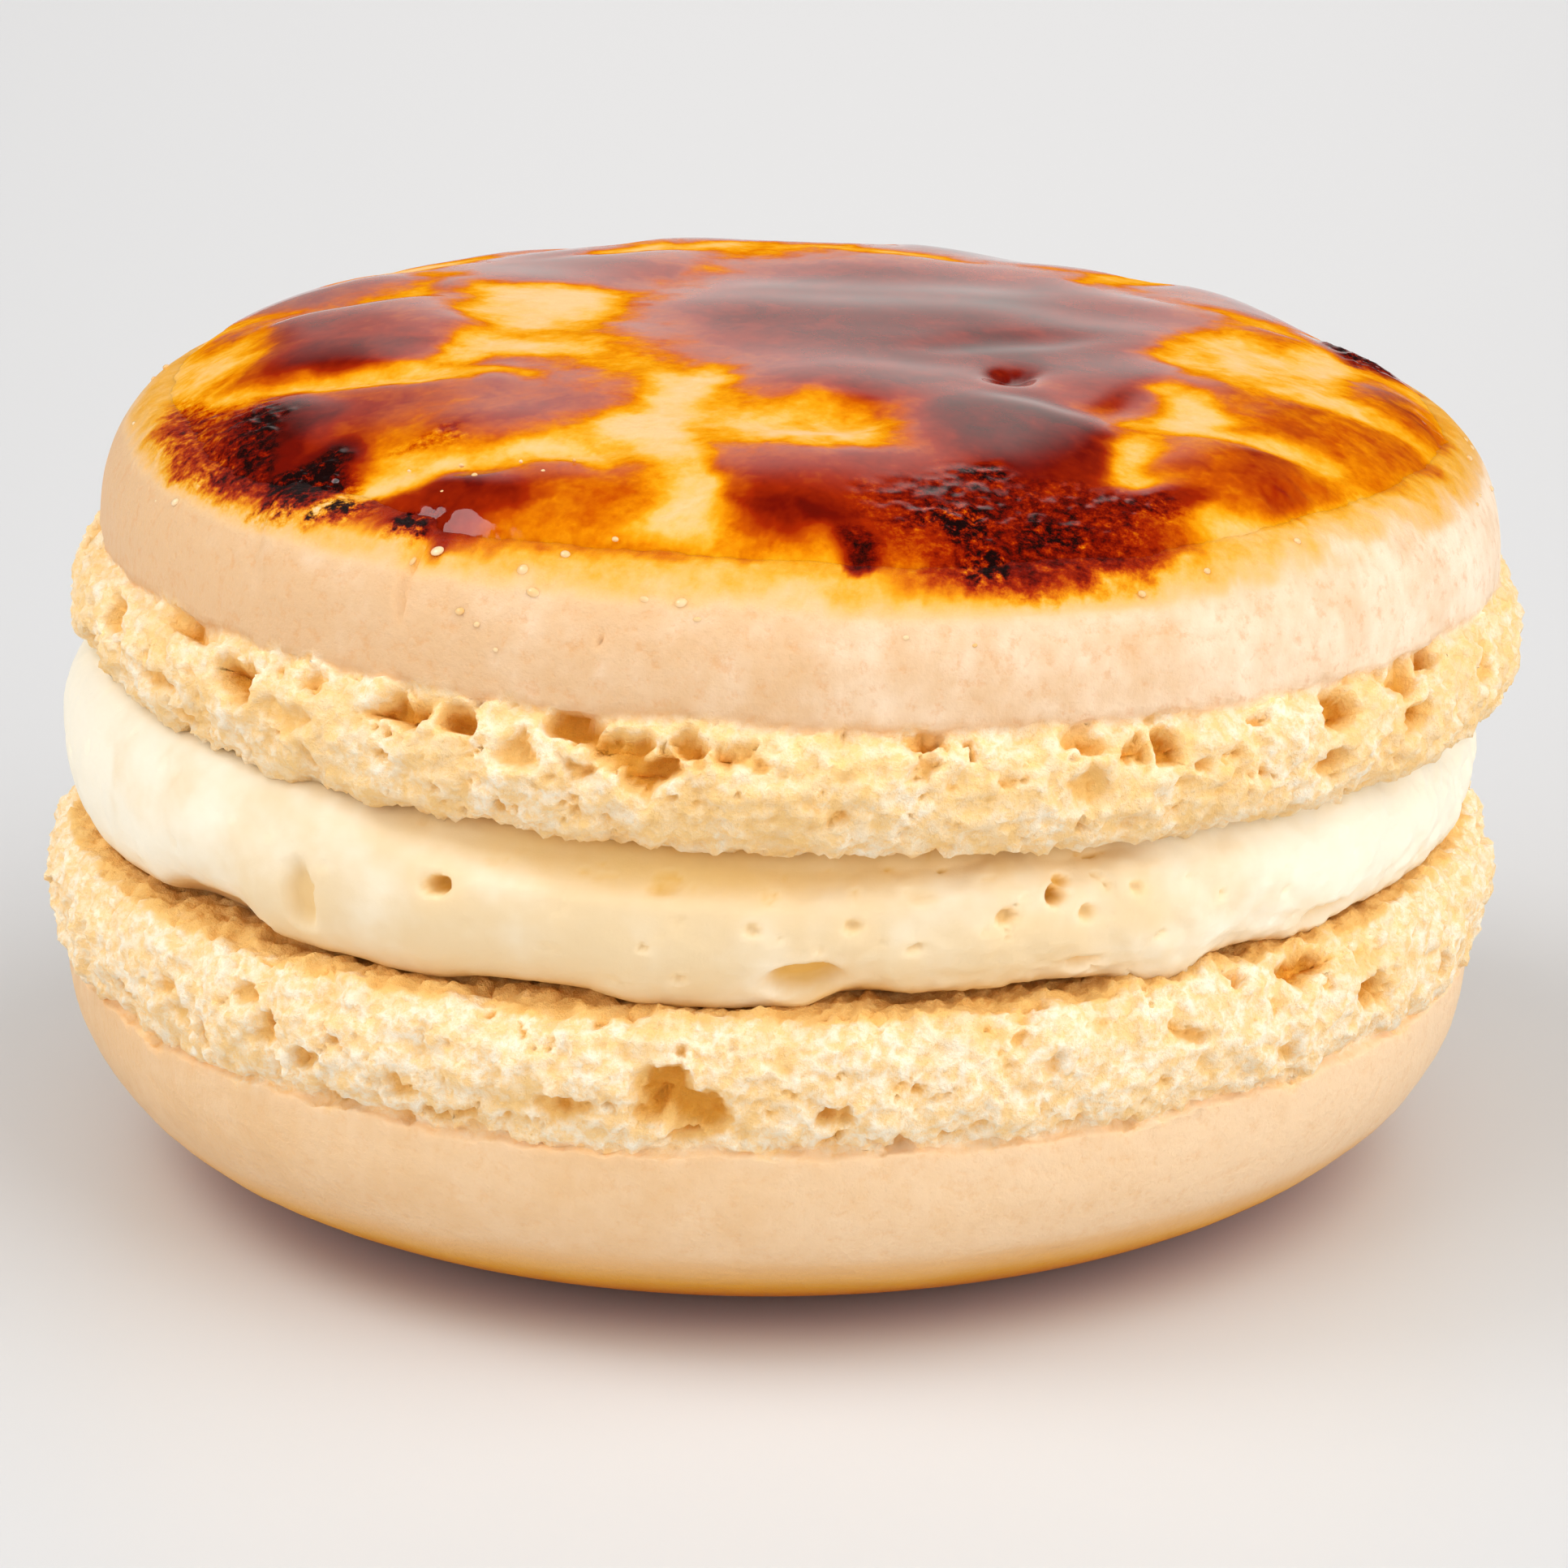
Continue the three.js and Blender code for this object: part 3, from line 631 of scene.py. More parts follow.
# x, y, half length, half width, turn in degrees and depth in millimetres
SINKS = [
    (6.1, -6.3, 0.34, 0.8, 6, 0.85), (5.9, -1.9, 3.4, 0.9, 32, 0.14), (7.2, -8.8, 1.9, 0.6, -14, 0.12),
    (0.4, -11.4, 1.9, 1.1, 0, 0.3), (-13.2, -6.6, 3.2, 0.5, -12, 0.3), (-8.2, -14.4, 4.6, 0.4, 4, 0.3),
    (9.7, -8.6, 0.5, 1.6, -10, 0.2), (-9.6, -6.3, 1.6, 0.5, 0, 0.2),
]
GOLD = 0.27
print("sugar:", len(POOLS), "pools,", len(PALE), "pale spots and", len(CHARRED), "charred spots")


def flat_oval(nodes, place, spot, fade, values):
    """A soft oval seen from above, given as x, y, half length, half width and turn in degrees."""
    x, y, half_length, half_width, degrees = spot
    turn = math.radians(degrees)
    along = Vector((math.cos(turn), math.sin(turn), 0)) * half_length
    beside = Vector((-math.sin(turn), math.cos(turn), 0)) * half_width
    return oval(nodes, place, (x, y, 0), (along, beside, Vector((0, 0, 100))), fade, values)


def softened(nodes, value, rounds):
    """Each point's value, averaged with its neighbours' a number of times."""
    if rounds == 0:
        return value
    return nodes.add("GeometryNodeBlurAttribute", {"data_type": "FLOAT"}, {0: value, "Iterations": rounds})


def burnt_field(nodes, flat, rounds):
    """Toast, char, rise and distance inside the sugar's edge, at a place on the cap seen from above."""
    swirled = nodes.stirred(flat, 4.0, 2.8, 1.0)
    stirred = nodes.stirred(swirled, 1.1, 1.7, 2.0)
    inside = round_curve(nodes, flat, SUGAR_EDGE) - from_axis(nodes, flat)
    inside = inside + nodes.noise(flat, 2.6, 5.0, 0.72, 6.0) * 2.2
    inside = inside + nodes.noise(flat, 0.8, 3.0, 0.6, 19.0) * 0.9
    tones, rises, pales, burns, sinks = [], [], [], [], []
    for *spot, toast, rise in POOLS:
        tones.append(flat_oval(nodes, stirred, spot, (2.2, 0.0), (GOLD, toast)))
        rises.append(flat_oval(nodes, swirled, spot, (1.9, 0.0), (0.0, rise)))
    for *spot, strength in PALE:
        pales.append(flat_oval(nodes, stirred, spot, (2.0, 0.0), (0.0, strength)))
    for *spot, strength in CHARRED:
        burns.append(flat_oval(nodes, stirred, spot, (1.5, 0.2), (0.0, strength)))
    for *spot, depth in SINKS:
        sinks.append(flat_oval(nodes, swirled, spot, (1.6, 0.0), (0.0, depth)))
    broken = nodes.ease(nodes.noise(swirled, 1.3, 4.0, 0.6, 5.0), -0.3, 0.0, 0.5, 1.0)
    pale, burns, sink = highest(pales) * broken, highest(burns), highest(sinks)
    toast = softened(nodes, highest(tones) * (1 - pale * 0.84) + sink * 0.25, rounds)
    toast = toast + nodes.noise(stirred, 2.4, 6.0, 0.72, 4.0) * 0.56
    toast = toast.maths("MAXIMUM", 0.1) * nodes.ease(inside, -0.7, 0.5)
    rise = softened(nodes, highest(rises) * (1 - pale) * 0.62 - sink, rounds * 4)
    return toast, burns, rise, inside


# %% [markdown]
# ## Upper shell
# The upper shell leans a little to the right on its cream. Its cap has steep sides and a nearly flat top,
# and at the left the skin has cracked and a flap of it stands off. Under the sugar its top is set a little
# lower, so that the sugar has its own thickness.

# %% Upper shell
UPPER_BASE = 15.735
UPPER_RIM = (21.84, 3.85)
CAP_RISE = 6.68
CAP_ACROSS = 3.63
CAP_UP = 2.6
UPPER_STEPS = 960
SUGAR_BED = 0.6

UPPER_HOLES = [
    (-46.7, 2.69, 0.95, 0.75, 1.1), (-54.9, 3.5, 1.7, 0.35, 0.5), (-57.3, 1.73, 1.2, 0.42, 0.5),
    (-53.9, 0.9, 0.8, 0.4, 0.4), (-41.0, 2.18, 1.3, 0.45, 0.4), (-38.8, 3.35, 0.7, 0.4, 0.5),
    (-31.1, 3.0, 1.15, 0.42, 0.9), (-25.9, 3.2, 0.6, 0.55, 0.9), (-16.8, 3.4, 1.1, 0.42, 0.9),
    (-14.1, 2.96, 0.6, 0.45, 0.8), (-12.3, 2.7, 0.7, 0.5, 0.9), (-10.8, 2.4, 0.75, 0.6, 0.9),
    (-20.6, 2.48, 0.6, 0.48, 0.5), (-16.0, 2.2, 0.6, 0.35, 0.5), (-8.0, 3.1, 0.65, 0.42, 0.7),
    (-4.3, 2.9, 0.8, 0.45, 0.5), (9.6, 3.45, 0.75, 0.4, 0.9), (12.0, 3.3, 0.35, 0.35, 0.7),
    (8.3, 2.6, 0.55, 0.4, 0.5), (20.6, 3.3, 0.95, 0.45, 0.5), (27.5, 2.95, 0.48, 0.62, 0.9),
    (25.0, 2.98, 0.38, 0.4, 0.6), (21.1, 2.14, 0.8, 0.5, 0.4), (44.5, 3.15, 0.8, 0.65, 0.8),
    (57.8, 3.5, 0.95, 0.4, 0.6), (54.1, 2.16, 0.9, 0.6, 0.6), (43.2, 1.56, 0.75, 0.5, 0.4),
    (53.4, 3.4, 0.85, 0.4, 0.6), (37.1, 3.4, 0.5, 0.25, 0.5), (66.0, 2.4, 0.9, 0.6, 0.6),
    (-66.0, 2.6, 1.0, 0.5, 0.6),
]
CAP_PITS = [
    (-15.4, 6.72, 0.42, 0.3, 0.16), (-15.3, 5.76, 0.12, 0.12, 0.25), (7.0, 6.2, 0.1, 0.1, 0.15),
    (12.5, 6.3, 0.1, 0.1, 0.15), (-20.0, 6.5, 0.14, 0.12, 0.15), (-3.0, 5.4, 0.1, 0.1, 0.12),
]
CRACK_ANGLE = -32.0
CRACK_SPAN = (5.1, 7.45)
FLAP_EDGE_ANGLE = -46.5


def dome_height(r):
    """Height of the upper cap above its rim, at a distance from its axis."""
    left = max(0.0, 1 - min(1.0, r / UPPER_RIM[0]) ** CAP_ACROSS)
    return CAP_RISE * left ** (1 / CAP_UP)


def around(nodes, place, degrees):
    """Distance along the wall from an angle, in millimetres, positive to the right."""
    turn = math.radians(degrees)
    return nodes.vector("DOT_PRODUCT", place, (math.cos(turn), math.sin(turn), 0), out=1)


def crack_depth(nodes, place, z):
    """The crack in the cap's skin, and the flap of skin that stands off beside it."""
    jagged = nodes.noise(place, 0.9, 3.0, 0.6, 12.0)
    from_crack = around(nodes, place, CRACK_ANGLE) + jagged * 0.5
    from_edge = around(nodes, place, FLAP_EDGE_ANGLE) + jagged * 0.7 + (z - 6.1) * 0.5
    low, high = CRACK_SPAN
    in_span = nodes.ease(z, low, low + 0.8) * nodes.ease(z, high + 0.5, high)
    crack = nodes.ease(from_crack.maths("ABSOLUTE"), 0.16, 0.02, 0.0, 0.24) * in_span
    flap = nodes.ease(from_edge, -0.14, 0.14) * nodes.ease(from_crack, 0.1, -0.1)
    flap = flap * nodes.ease(z, 4.1, 7.0)
    return crack - flap * 0.16


def upper_rule(nodes, place, normal):
    across = from_axis(nodes, place)
    _, y, z = nodes.axes(place)
    front = nodes.ease(y, 2.0, -4.0)
    edge = z + nodes.noise(place, 2.4, 4.0, 0.65, 21.0) * 1.1
    in_foot = nodes.ease(edge, UPPER_RIM[1] + 0.02, UPPER_RIM[1] - 0.3) * nodes.ease(across, 18.5, 20.5)
    depth = crumb(nodes, place, UPPER_HOLES + more_holes(8, 0.8, 3.3, 36), 22.3, 8.1)
    skin = nodes.noise(place, 6.0, 2.0, 0.5, 12.0) * -0.24
    marks = dents(nodes, place, CAP_PITS, 21.6) + crack_depth(nodes, place, z) * front
    on_side = nodes.ease(z, 8.6, 7.6) * nodes.ease(across, 18.0, 20.0)
    inward = depth * in_foot + (skin + marks) * (1 - in_foot) * on_side
    moved = nodes.vector("SUBTRACT", place, nodes.times(normal, inward))
    moved = nodes.vector("ADD", moved, seam(nodes, place, z, UPPER_RIM[1]))
    toast, burns, _, inside = burnt_field(nodes, nodes.vector("MULTIPLY", place, (1.0, 1.0, 0.0)), 0)
    stain = nodes.ease(inside + nodes.noise(place, 1.2, 3.0, 0.6, 14.0) * 2.4, -2.0, 0.1, 0.0, 0.26)
    on_cap = nodes.ease(z, 6.4, 7.2)
    marks = {
        **patterns(nodes, place, 0.1, -0.1),
        "crumb": in_foot,
        # Deeper crumb is marked darker gold: painted shade in its recesses.
        "hollow": nodes.ease(depth, -0.15, 0.8) * in_foot,
        "toast": toast.maths("MAXIMUM", stain) * on_cap,
        "char": burns * on_cap * nodes.ease(inside, -0.6, 0.3),
    }
    return moved, marks


upper_cap = []
for row in range(801):
    turn = (row / 800) * math.pi / 2
    r = UPPER_RIM[0] * max(0.0, math.cos(turn)) ** (2 / CAP_ACROSS)
    bed = SUGAR_BED * min(1.0, max(0.0, (20.3 - r) / 1.8))
    upper_cap.append((r, UPPER_RIM[1] + dome_height(r) - bed))
upper_cap = thinned(upper_cap, lambda point: 0.24 if point[1] < 9.3 else 1.2)
upper_foot = [
    (19.0, 0.0), (21.0, 0.0), (21.75, 0.12), (22.2, 0.55), (22.5, 1.3), (22.55, 2.1), (22.35, 2.9),
    (22.0, 3.35), (21.72, 3.62), (21.74, 3.78), UPPER_RIM,
]
upper_outline = [(0, 0), *stretch(upper_foot, FOOT_ROW), *upper_cap[1:]]
upper_shell = turned("upper_shell", upper_outline, UPPER_STEPS)
reshape(upper_shell, "upper crumb and skin", upper_rule)

# %% [markdown]
# ## The sugar skin
# The sugar is a thin sheet on the dome. It starts as a fine square grid, because a turned mesh would be
# coarse at its rim and crowded in its middle. One sum rounds the square into a disc and lifts it onto the
# dome. Where the sum of the pools is thick it stands proud, and past its edge it dives into the shell, so
# the two surfaces meet in a ragged line. Solidify then gives it its own underside.

# %% Sugar skin
SUGAR_REACH = 21.0
SUGAR_GRID = 272


def sugar_rule(nodes, place, normal):
    x, y, _ = nodes.axes(place)
    u, v = x / SUGAR_REACH, y / SUGAR_REACH
    round_x = x * ((1 - v * v * 0.5).maths("SQRT"))
    round_y = y * ((1 - u * u * 0.5).maths("SQRT"))
    flat = nodes.join(round_x, round_y, 0.0)
    across = from_axis(nodes, flat)
    toast, burns, rise, inside = burnt_field(nodes, flat, 5)
    left = 1 - (across / UPPER_RIM[0]) ** CAP_ACROSS
    dome = (left ** (1 / CAP_UP)) * CAP_RISE + UPPER_RIM[1]
    ripple = nodes.noise(flat, 5.5, 0.0, 0.5, 8.0) * 0.55
    grit = nodes.noise(flat, 0.5, 3.0, 0.7, 15.0) * burns * 0.55
    scales = nodes.noise(flat, 0.9, 3.0, 0.6, 18.0) * nodes.ease(toast, 0.5, 0.2, 0.0, 0.14)
    pinned = nodes.ease(inside, 0.0, 1.3)
    lift = (rise + ripple + grit + scales - 0.2) * pinned + nodes.ease(inside, 1.3, -0.7, -0.02, -0.45)
    moved = nodes.join(round_x, round_y, dome + lift)
    tan = patterns(nodes, nodes.join(round_x, round_y, dome), 0.1, -0.1)["tan"]
    return moved, {"toast": toast, "char": burns, "tan": tan}


bpy.ops.object.select_all(action="DESELECT")
sheet = {"x_subdivisions": SUGAR_GRID, "y_subdivisions": SUGAR_GRID, "size": 2 * SUGAR_REACH * MM}
bpy.ops.mesh.primitive_grid_add(**sheet)
sugar = bpy.context.object
sugar.name = sugar.data.name = "sugar_skin"
bpy.ops.object.shade_smooth()
reshape(sugar, "pools of sugar", sugar_rule)
thicken = sugar.modifiers.new("thickness", "SOLIDIFY")
thicken.thickness = 0.4 * MM
thicken.offset = -1
sugar.vertex_groups.new(name="underside")
thicken.shell_vertex_group = "underside"
finish_step(sugar, thicken)
thin_out = sugar.modifiers.new("fewer faces below", "DECIMATE")
thin_out.vertex_group = "underside"
thin_out.vertex_group_factor = 10
thin_out.ratio = 0.6
finish_step(sugar, thin_out)

# %% [markdown]
# ## Drops and crystals on the edge
# Where the melted sugar ran over the edge of the cap it froze as small glassy drops, and a few grains did
# not melt at all. They are flattened balls, pressed into the shell where the photo shows them, with more of
# the same on round the cap, and then joined into one piece that stands for the same sugar as the skin.

# %% Drops and crystals
# angle from the front, distance from the axis, width and height in millimetres
DROPS = [
    (-32.6, 20.9, 0.5, 0.22), (-30.4, 20.6, 0.42, 0.2), (-22.6, 20.7, 0.36, 0.22),
    (-21.2, 21.1, 0.42, 0.26), (-12.4, 21.0, 0.3, 0.18), (-9.6, 21.0, 0.4, 0.22),
    (-8.2, 21.25, 0.26, 0.16), (-19.6, 20.2, 0.3, 0.18), (-26.8, 21.5, 0.3, 0.2),
    (-25.2, 21.6, 0.2, 0.16), (-23.4, 21.75, 0.16, 0.14), (7.4, 21.4, 0.2, 0.14),
    (-38.5, 18.4, 0.14, 0.1), (-34.2, 17.7, 0.18, 0.12), (-32.0, 18.0, 0.2, 0.12),
    (-29.0, 17.0, 0.12, 0.1), (-26.0, 17.3, 0.16, 0.1), (-24.0, 16.5, 0.12, 0.1),
    (-33.5, 18.9, 0.14, 0.1), (-16.0, 19.6, 0.2, 0.14), (12.6, 21.5, 0.16, 0.12),
    (26.8, 20.9, 0.26, 0.16), (33.4, 20.6, 0.22, 0.16), (44.0, 20.3, 0.24, 0.16),
]
draw = random.Random(11)
for _ in range(34):
    size = draw.uniform(0.12, 0.3)
    DROPS.append((draw.uniform(60, 300), draw.uniform(20.3, 21.4), size, size * 0.6))
drops = []
for degrees, r, width, height in DROPS:
    bpy.ops.mesh.primitive_uv_sphere_add(segments=12, ring_count=8, radius=MM)
    drop = bpy.context.object
    drop.location = on_wall(degrees, UPPER_RIM[1] + dome_height(r), r) * MM
    drop.scale = (width / 2, width / 2 * draw.uniform(0.6, 1.0), height / 2)
    drop.rotation_euler = (draw.uniform(0.3, 0.9), draw.uniform(-0.3, 0.3), math.radians(degrees))
    bpy.ops.object.shade_smooth()
    drops.append(drop)
pick(*drops)
bpy.ops.object.join()
drops = drops[0]
drops.name = drops.data.name = "sugar_drops"
bpy.ops.object.transform_apply(location=True, rotation=True, scale=True)
print("drops have", len(drops.data.polygons), "faces")

# %% [markdown]
# ## Setting the upper shell on the cream
# The upper shell and its sugar were made level, round their own axis. They lean together: both are turned
# by the same small angle, moved onto the cream, and the turn and the move are put into their meshes.

# %% Lean and place
for piece in (upper_shell, sugar, drops):
    pick(piece)
    piece.rotation_euler = (0, math.atan(LEAN), 0)
    piece.location = Vector((UPPER_X, 0, UPPER_BASE)) * MM
    bpy.ops.object.transform_apply(location=True, rotation=True, scale=True)
print("upper shell leans", round(math.degrees(math.atan(LEAN)), 2), "degrees")

# %% [markdown]
# ## Finishes
# Each finish is a Principled shader whose colour, roughness and bump are worked out on Object coordinates
# and on the numbers that the shaping steps kept. Light sinks a little way into meringue, cream and thin
# sugar, which softens their shadows. Where the sugar is thick it is a glossy coat on a deep colour, and
# where it is thin it fades into the colour of the skin under it.

# %% Colours and a blank finish
def colour(red, green, blue):
    """A colour as an editor shows it, from 0 to 255, turned into light."""
    shares = [value / 255 for value in (red, green, blue)]
    light = [s / 12.92 if s <= 0.04045 else ((s + 0.055) / 1.055) ** 2.4 for s in shares]
    return (*light, 1.0)


def new_finish(name):
    """A material with a Principled shader, and its nodes, shader and place in millimetres."""
    finish = bpy.data.materials.new(name)
    finish.use_nodes = True
    nodes = Nodes(finish.node_tree)
    shader = finish.node_tree.nodes["Principled BSDF"]
    place = nodes.times(nodes.add("ShaderNodeTexCoord", None, None, out=3), 1 / MM)
    return finish, nodes, shader, place


def mark(nodes, name):
    return nodes.add("ShaderNodeAttribute", {"attribute_name": name}, None, out=2)


def blend(nodes, share, first, second):
    settings = {"data_type": "RGBA"}
    return nodes.add("ShaderNodeMix", settings, {0: share, 6: first, 7: second}, out=2)


def bump(nodes, shader, height):
    """Feeds a height in millimetres to the shader's normal."""
    inputs = {"Height": height, "Distance": MM, "Strength": 1.0}
    nodes.plug(shader.inputs["Normal"], nodes.add("ShaderNodeBump", None, inputs))


def let_light_in(shader, share, glow, depth):
    """Lets a share of the light sink in by a depth in millimetres, times the glow of each colour."""
    shader.subsurface_method = "BURLEY"
    shader.inputs["Subsurface Weight"].default_value = share
    shader.inputs["Subsurface Radius"].default_value = glow
    shader.inputs["Subsurface Scale"].default_value = depth * MM


BAKED_GLOW = (1.0, 0.75, 0.5)
CREAM_GLOW = (1.0, 0.85, 0.65)

# %% Sugar colours, shared by the skin and the stain under it
TOAST_STOPS = [
    (0.0, colour(238, 203, 158)), (0.12, colour(240, 192, 132)), (0.21, colour(240, 183, 98)),
    (0.28, colour(236, 169, 52)), (0.35, colour(231, 152, 16)), (0.43, colour(217, 122, 4)),
    (0.53, colour(192, 80, 1)), (0.64, colour(156, 36, 0)), (0.78, colour(112, 12, 0)),
    (0.90, colour(66, 7, 2)), (1.0, colour(30, 5, 3)),
]
CHAR_COLOUR = colour(24, 8, 7)


def toasted(nodes, toast, char, place):
    """Colour of sugar, with fine specks where it is burnt, and how charred it is."""
    specks = nodes.noise(place, 0.3, 3.0, 0.7, 31.0)
    cloudy = nodes.noise(place, 1.1, 3.0, 0.6, 33.0)
    mottled = (specks * 0.14 + cloudy * 0.24) * nodes.ease(toast, 0.65, 0.4, 0.35, 1.0)
    tone = toast + mottled * nodes.ease(toast, 0.02, 0.25)
    tone = tone + char * (specks * 1.5 + 0.12)
    charred = nodes.ease(char + specks * 1.7 + cloudy * 0.7, 0.8, 1.2)
    sugar_colour = nodes.add("ShaderNodeValToRGB", {"stops": TOAST_STOPS}, {0: tone})
    return blend(nodes, charred, sugar_colour, CHAR_COLOUR), charred


# %% Baked meringue
def baked_skin(nodes):
    """Colour of the smooth skin of a cap, from tan to pale."""
    return blend(nodes, mark(nodes, "tan"), colour(230, 188, 142), colour(255, 234, 208))


def meringue(name, sugared):
    """The finish of one shell. Only the sugared one is burnt, which takes more nodes."""
    finish, nodes, shader, place = new_finish(name)
    in_crumb, hollow = mark(nodes, "crumb"), mark(nodes, "hollow")
    fine = nodes.noise(place, 0.45, 4.0, 0.68, 8.0)
    skin = blend(nodes, mark(nodes, "dots") * 0.4, baked_skin(nodes), colour(226, 158, 90))
    # The skin turns darker and more orange where the fine bump dips: painted shade in its low spots.
    skin = blend(nodes, nodes.ease(fine, 0.0, -0.22) * 0.42, skin, colour(226, 160, 98))
    if sugared:
        stained, _ = toasted(nodes, mark(nodes, "toast"), mark(nodes, "char"), place)
    else:
        stained = nodes.add("ShaderNodeValToRGB", {"stops": TOAST_STOPS}, {0: mark(nodes, "toast")})
    skin = blend(nodes, nodes.ease(mark(nodes, "toast"), 0.0, 0.12), skin, stained)
    # The fine noise also drives the bump: raised grains are painted whiter as a highlight, low spots more
    # golden as painted shade.
    lit_peaks = blend(nodes, nodes.ease(fine, -0.14, 0.16), colour(253, 214, 152), colour(255, 242, 218))
    lit_peaks = blend(nodes, mark(nodes, "honey") * 0.6, lit_peaks, colour(250, 206, 132))
    # The crumb turns gold, then deep gold, the deeper it lies: painted shade in its recesses.
    crumb_colour = blend(nodes, nodes.ease(hollow, 0.04, 0.5), lit_peaks, colour(247, 199, 122))
    crumb_colour = blend(nodes, nodes.ease(hollow, 0.5, 1.0), crumb_colour, colour(224, 156, 56))
    nodes.plug(shader.inputs["Base Color"], blend(nodes, in_crumb, skin, crumb_colour))
    nodes.plug(shader.inputs["Roughness"], in_crumb * 0.15 + 0.5)
    let_light_in(shader, 0.6, BAKED_GLOW, 0.35)
    shader.inputs["Specular IOR Level"].default_value = 0.3
    bump(nodes, shader, fine * (in_crumb * 0.18 + 0.1))
    return finish


# %% Whipped cream
def whipped():
    finish, nodes, shader, place = new_finish("whipped_cream")
    hollow = mark(nodes, "hollow")
    x, y, _ = nodes.axes(place)
    # Besides random tone, the ivory turns paler to the right and away from the front, and darker at the
    # front: painted light and shade.
    cloudy = nodes.ease(nodes.noise(place, 3.2, 3.0, 0.55, 2.0) + x * 0.005 + (y + 17.5) * 0.042, -0.25, 0.25)
    ivory_and_painted_light = blend(nodes, cloudy, colour(240, 213, 168), colour(253, 243, 220))
    # Dents, pits and the lower edge of the cream take a darker gold: painted shade.
    nodes.plug(shader.inputs["Base Color"], blend(nodes, hollow, ivory_and_painted_light, colour(232, 184, 92)))
    shader.inputs["Roughness"].default_value = 0.42
    let_light_in(shader, 0.5, CREAM_GLOW, 1.0)
    bump(nodes, shader, nodes.noise(place, 0.3, 3.0, 0.6, 5.0) * 0.02)
    return finish


# %% Torched sugar
def torched():
    finish, nodes, shader, place = new_finish("torched_sugar")
    toast, char = mark(nodes, "toast"), mark(nodes, "char")
    sugar_colour, charred = toasted(nodes, toast, char, place)
    sugar_colour = blend(nodes, nodes.ease(toast, 0.0, 0.12), baked_skin(nodes), sugar_colour)
    nodes.plug(shader.inputs["Base Color"], sugar_colour)
    glassy = nodes.ease(toast, 0.4, 0.6)
    nodes.plug(shader.inputs["Coat Weight"], glassy * (1 - charred * 0.55))
    shader.inputs["Coat Roughness"].default_value = 0.06
    shader.inputs["Coat IOR"].default_value = 1.5
    shader.inputs["Specular IOR Level"].default_value = 0.0
    shader.inputs["Roughness"].default_value = 0.5
    let_light_in(shader, 0.45, BAKED_GLOW, 0.35)
    rough_edge = nodes.noise(place, 0.35, 3.0, 0.6, 21.0) * ((1 - glassy) * 0.07 + char * 0.12 + 0.002)
    bump(nodes, shader, rough_edge)
    return finish


# %% Glassy drops
def frozen_drop():
    finish, nodes, shader, place = new_finish("frozen_drop")
    cloudy = nodes.ease(nodes.noise(place, 0.8, 2.0, 0.5, 4.0), -0.2, 0.2)
    honeyed = blend(nodes, cloudy, colour(244, 192, 118), colour(252, 222, 178))
    nodes.plug(shader.inputs["Base Color"], honeyed)
    shader.inputs["Roughness"].default_value = 0.3
    shader.inputs["Coat Weight"].default_value = 1.0
    shader.inputs["Coat Roughness"].default_value = 0.04
    shader.inputs["Coat IOR"].default_value = 1.6
    return finish


FINISHES = {
    lower_shell: meringue("almond_meringue", False), upper_shell: meringue("toasted_meringue", True),
    cream: whipped(), sugar: torched(), drops: frozen_drop(),
}
for piece, finish in FINISHES.items():
    piece.data.materials.clear()
    piece.data.materials.append(finish)
print("finishes:", [finish.name for finish in bpy.data.materials])

# %% [markdown]
# ## Floor and light
# The macaron stands on a white table in a bright room. A wide pale disc is the table, and it fills the frame.
# A broad soft lamp on each side, one overhead and a weak warm one low in front light it evenly. Mirrored in
# the sugar they would wash its colour out, so gloss doesn't see them: it mirrors a small glint and one bright
# pane at the back, as in the photo, and is dark elsewhere.

# %% Floor, lamps and sky
bpy.ops.object.select_all(action="DESELECT")
bpy.ops.mesh.primitive_circle_add(vertices=96, radius=1.0, fill_type="NGON", location=(0, 0, -0.02 * MM))
floor = bpy.context.object
floor.name = "floor"
table, nodes, shader, place = new_finish("white_table")
faint = nodes.noise(place, 30.0, 2.0, 0.5, 3.0) * 0.02 + 0.5
nodes.plug(shader.inputs["Base Color"], blend(nodes, faint, colour(214, 214, 215), colour(217, 217, 217)))
shader.inputs["Roughness"].default_value = 0.4
floor.data.materials.append(table)


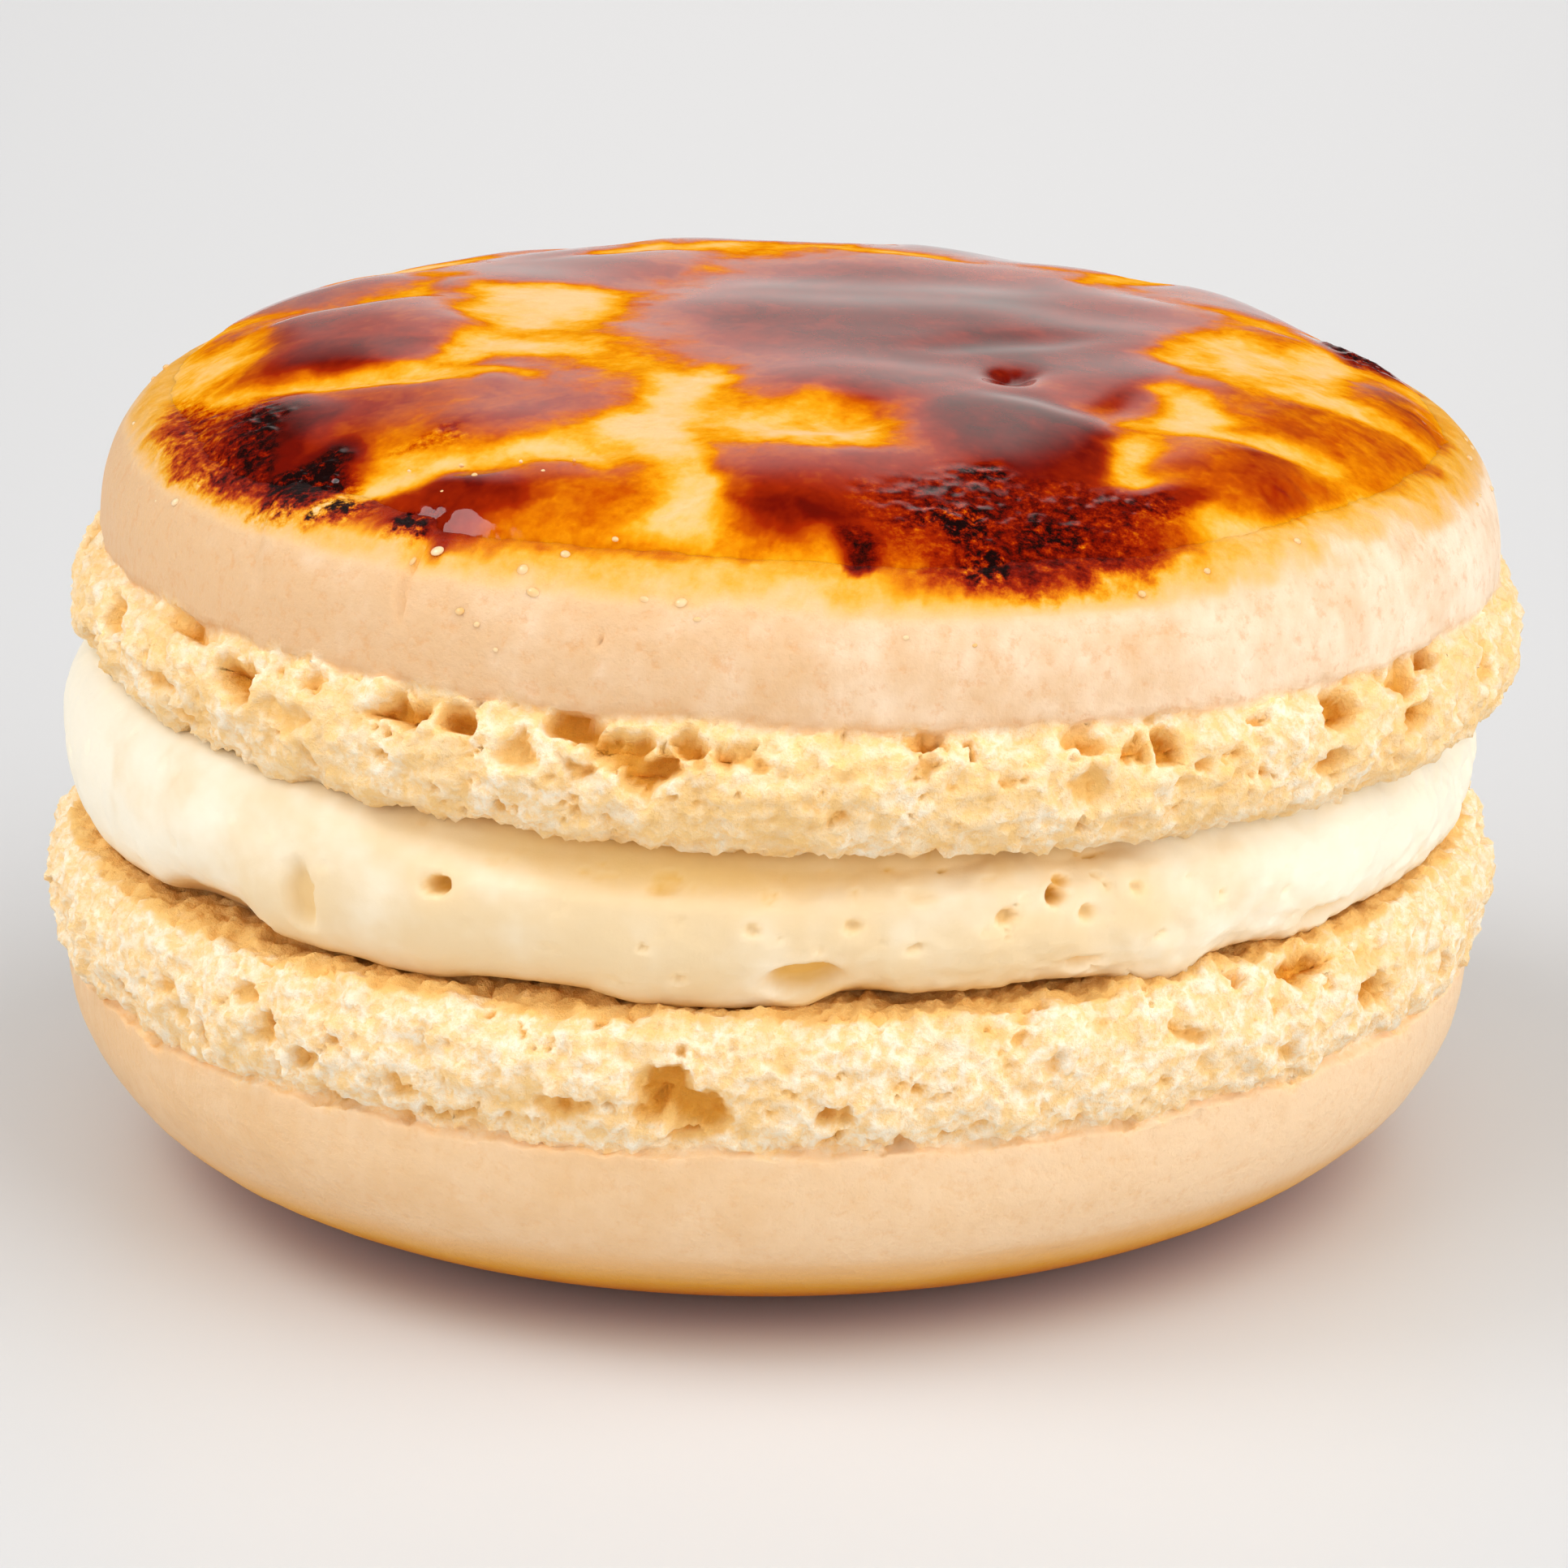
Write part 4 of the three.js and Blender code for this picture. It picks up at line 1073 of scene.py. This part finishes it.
def soft_sun(name, towards, power, width, shows=False, tint=(1.0, 1.0, 1.0)):
    """Soft light from one side of the room, given as the way towards it, and whether gloss mirrors it."""
    bpy.ops.object.light_add(type="SUN")
    made = bpy.context.object
    made.name = name
    made.data.energy = power
    made.data.angle = math.radians(width)
    made.visible_glossy = shows
    made.data.color = tint
    made.rotation_euler = Vector(towards).to_track_quat("Z", "Y").to_euler()


soft_sun("right_window", (0.85, -0.3, 0.75), 1.9, 70)
soft_sun("left_window", (-0.85, -0.25, 0.75), 1.3, 70)
soft_sun("ceiling", (0.1, -0.3, 0.9), 0.72, 70)
soft_sun("low_fill", (0.05, -1.0, 0.2), 0.35, 40, tint=(1.0, 0.82, 0.62))
soft_sun("glint", (-0.6, 0.02, 0.8), 0.5, 26, shows=True)
world = bpy.data.worlds.new("pale_room")
bpy.context.scene.world = world
world.use_nodes = True
nodes = Nodes(world.node_tree)
background = world.node_tree.nodes["Background"]
side, depth, height = nodes.axes(nodes.add("ShaderNodeTexCoord"))
pane = nodes.ease(side, -0.3, -0.02) * nodes.ease(side, 0.26, 0.1) * nodes.ease(depth, 0.2, 0.4)
pane = pane * nodes.ease(height, 0.8, 0.6)
mirrored = blend(nodes, pane, (0.03, 0.03, 0.03, 1.0), (0.82, 0.77, 0.73, 1.0))
sky = blend(nodes, nodes.ease(height, 0.5, 0.1), (0.14, 0.14, 0.14, 1.0), (1.0, 1.0, 1.0, 1.0))
in_gloss = nodes.add("ShaderNodeLightPath", None, None, out="Is Glossy Ray")
nodes.plug(background.inputs["Color"], blend(nodes, in_gloss, sky, mirrored))
bpy.context.scene.view_settings.view_transform = "Standard"

# %% [markdown]
# ## Hand over
# Each made piece stands for one solid of the imported part and rides with its only body.

# %% Hand over
STANDS_FOR = {
    lower_shell: "bottom_shell", cream: "cream_filling", upper_shell: "top_shell", sugar: "burnt_sugar",
    drops: "burnt_sugar",
}
for piece, node in STANDS_FOR.items():
    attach(piece, "root")
    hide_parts(node)
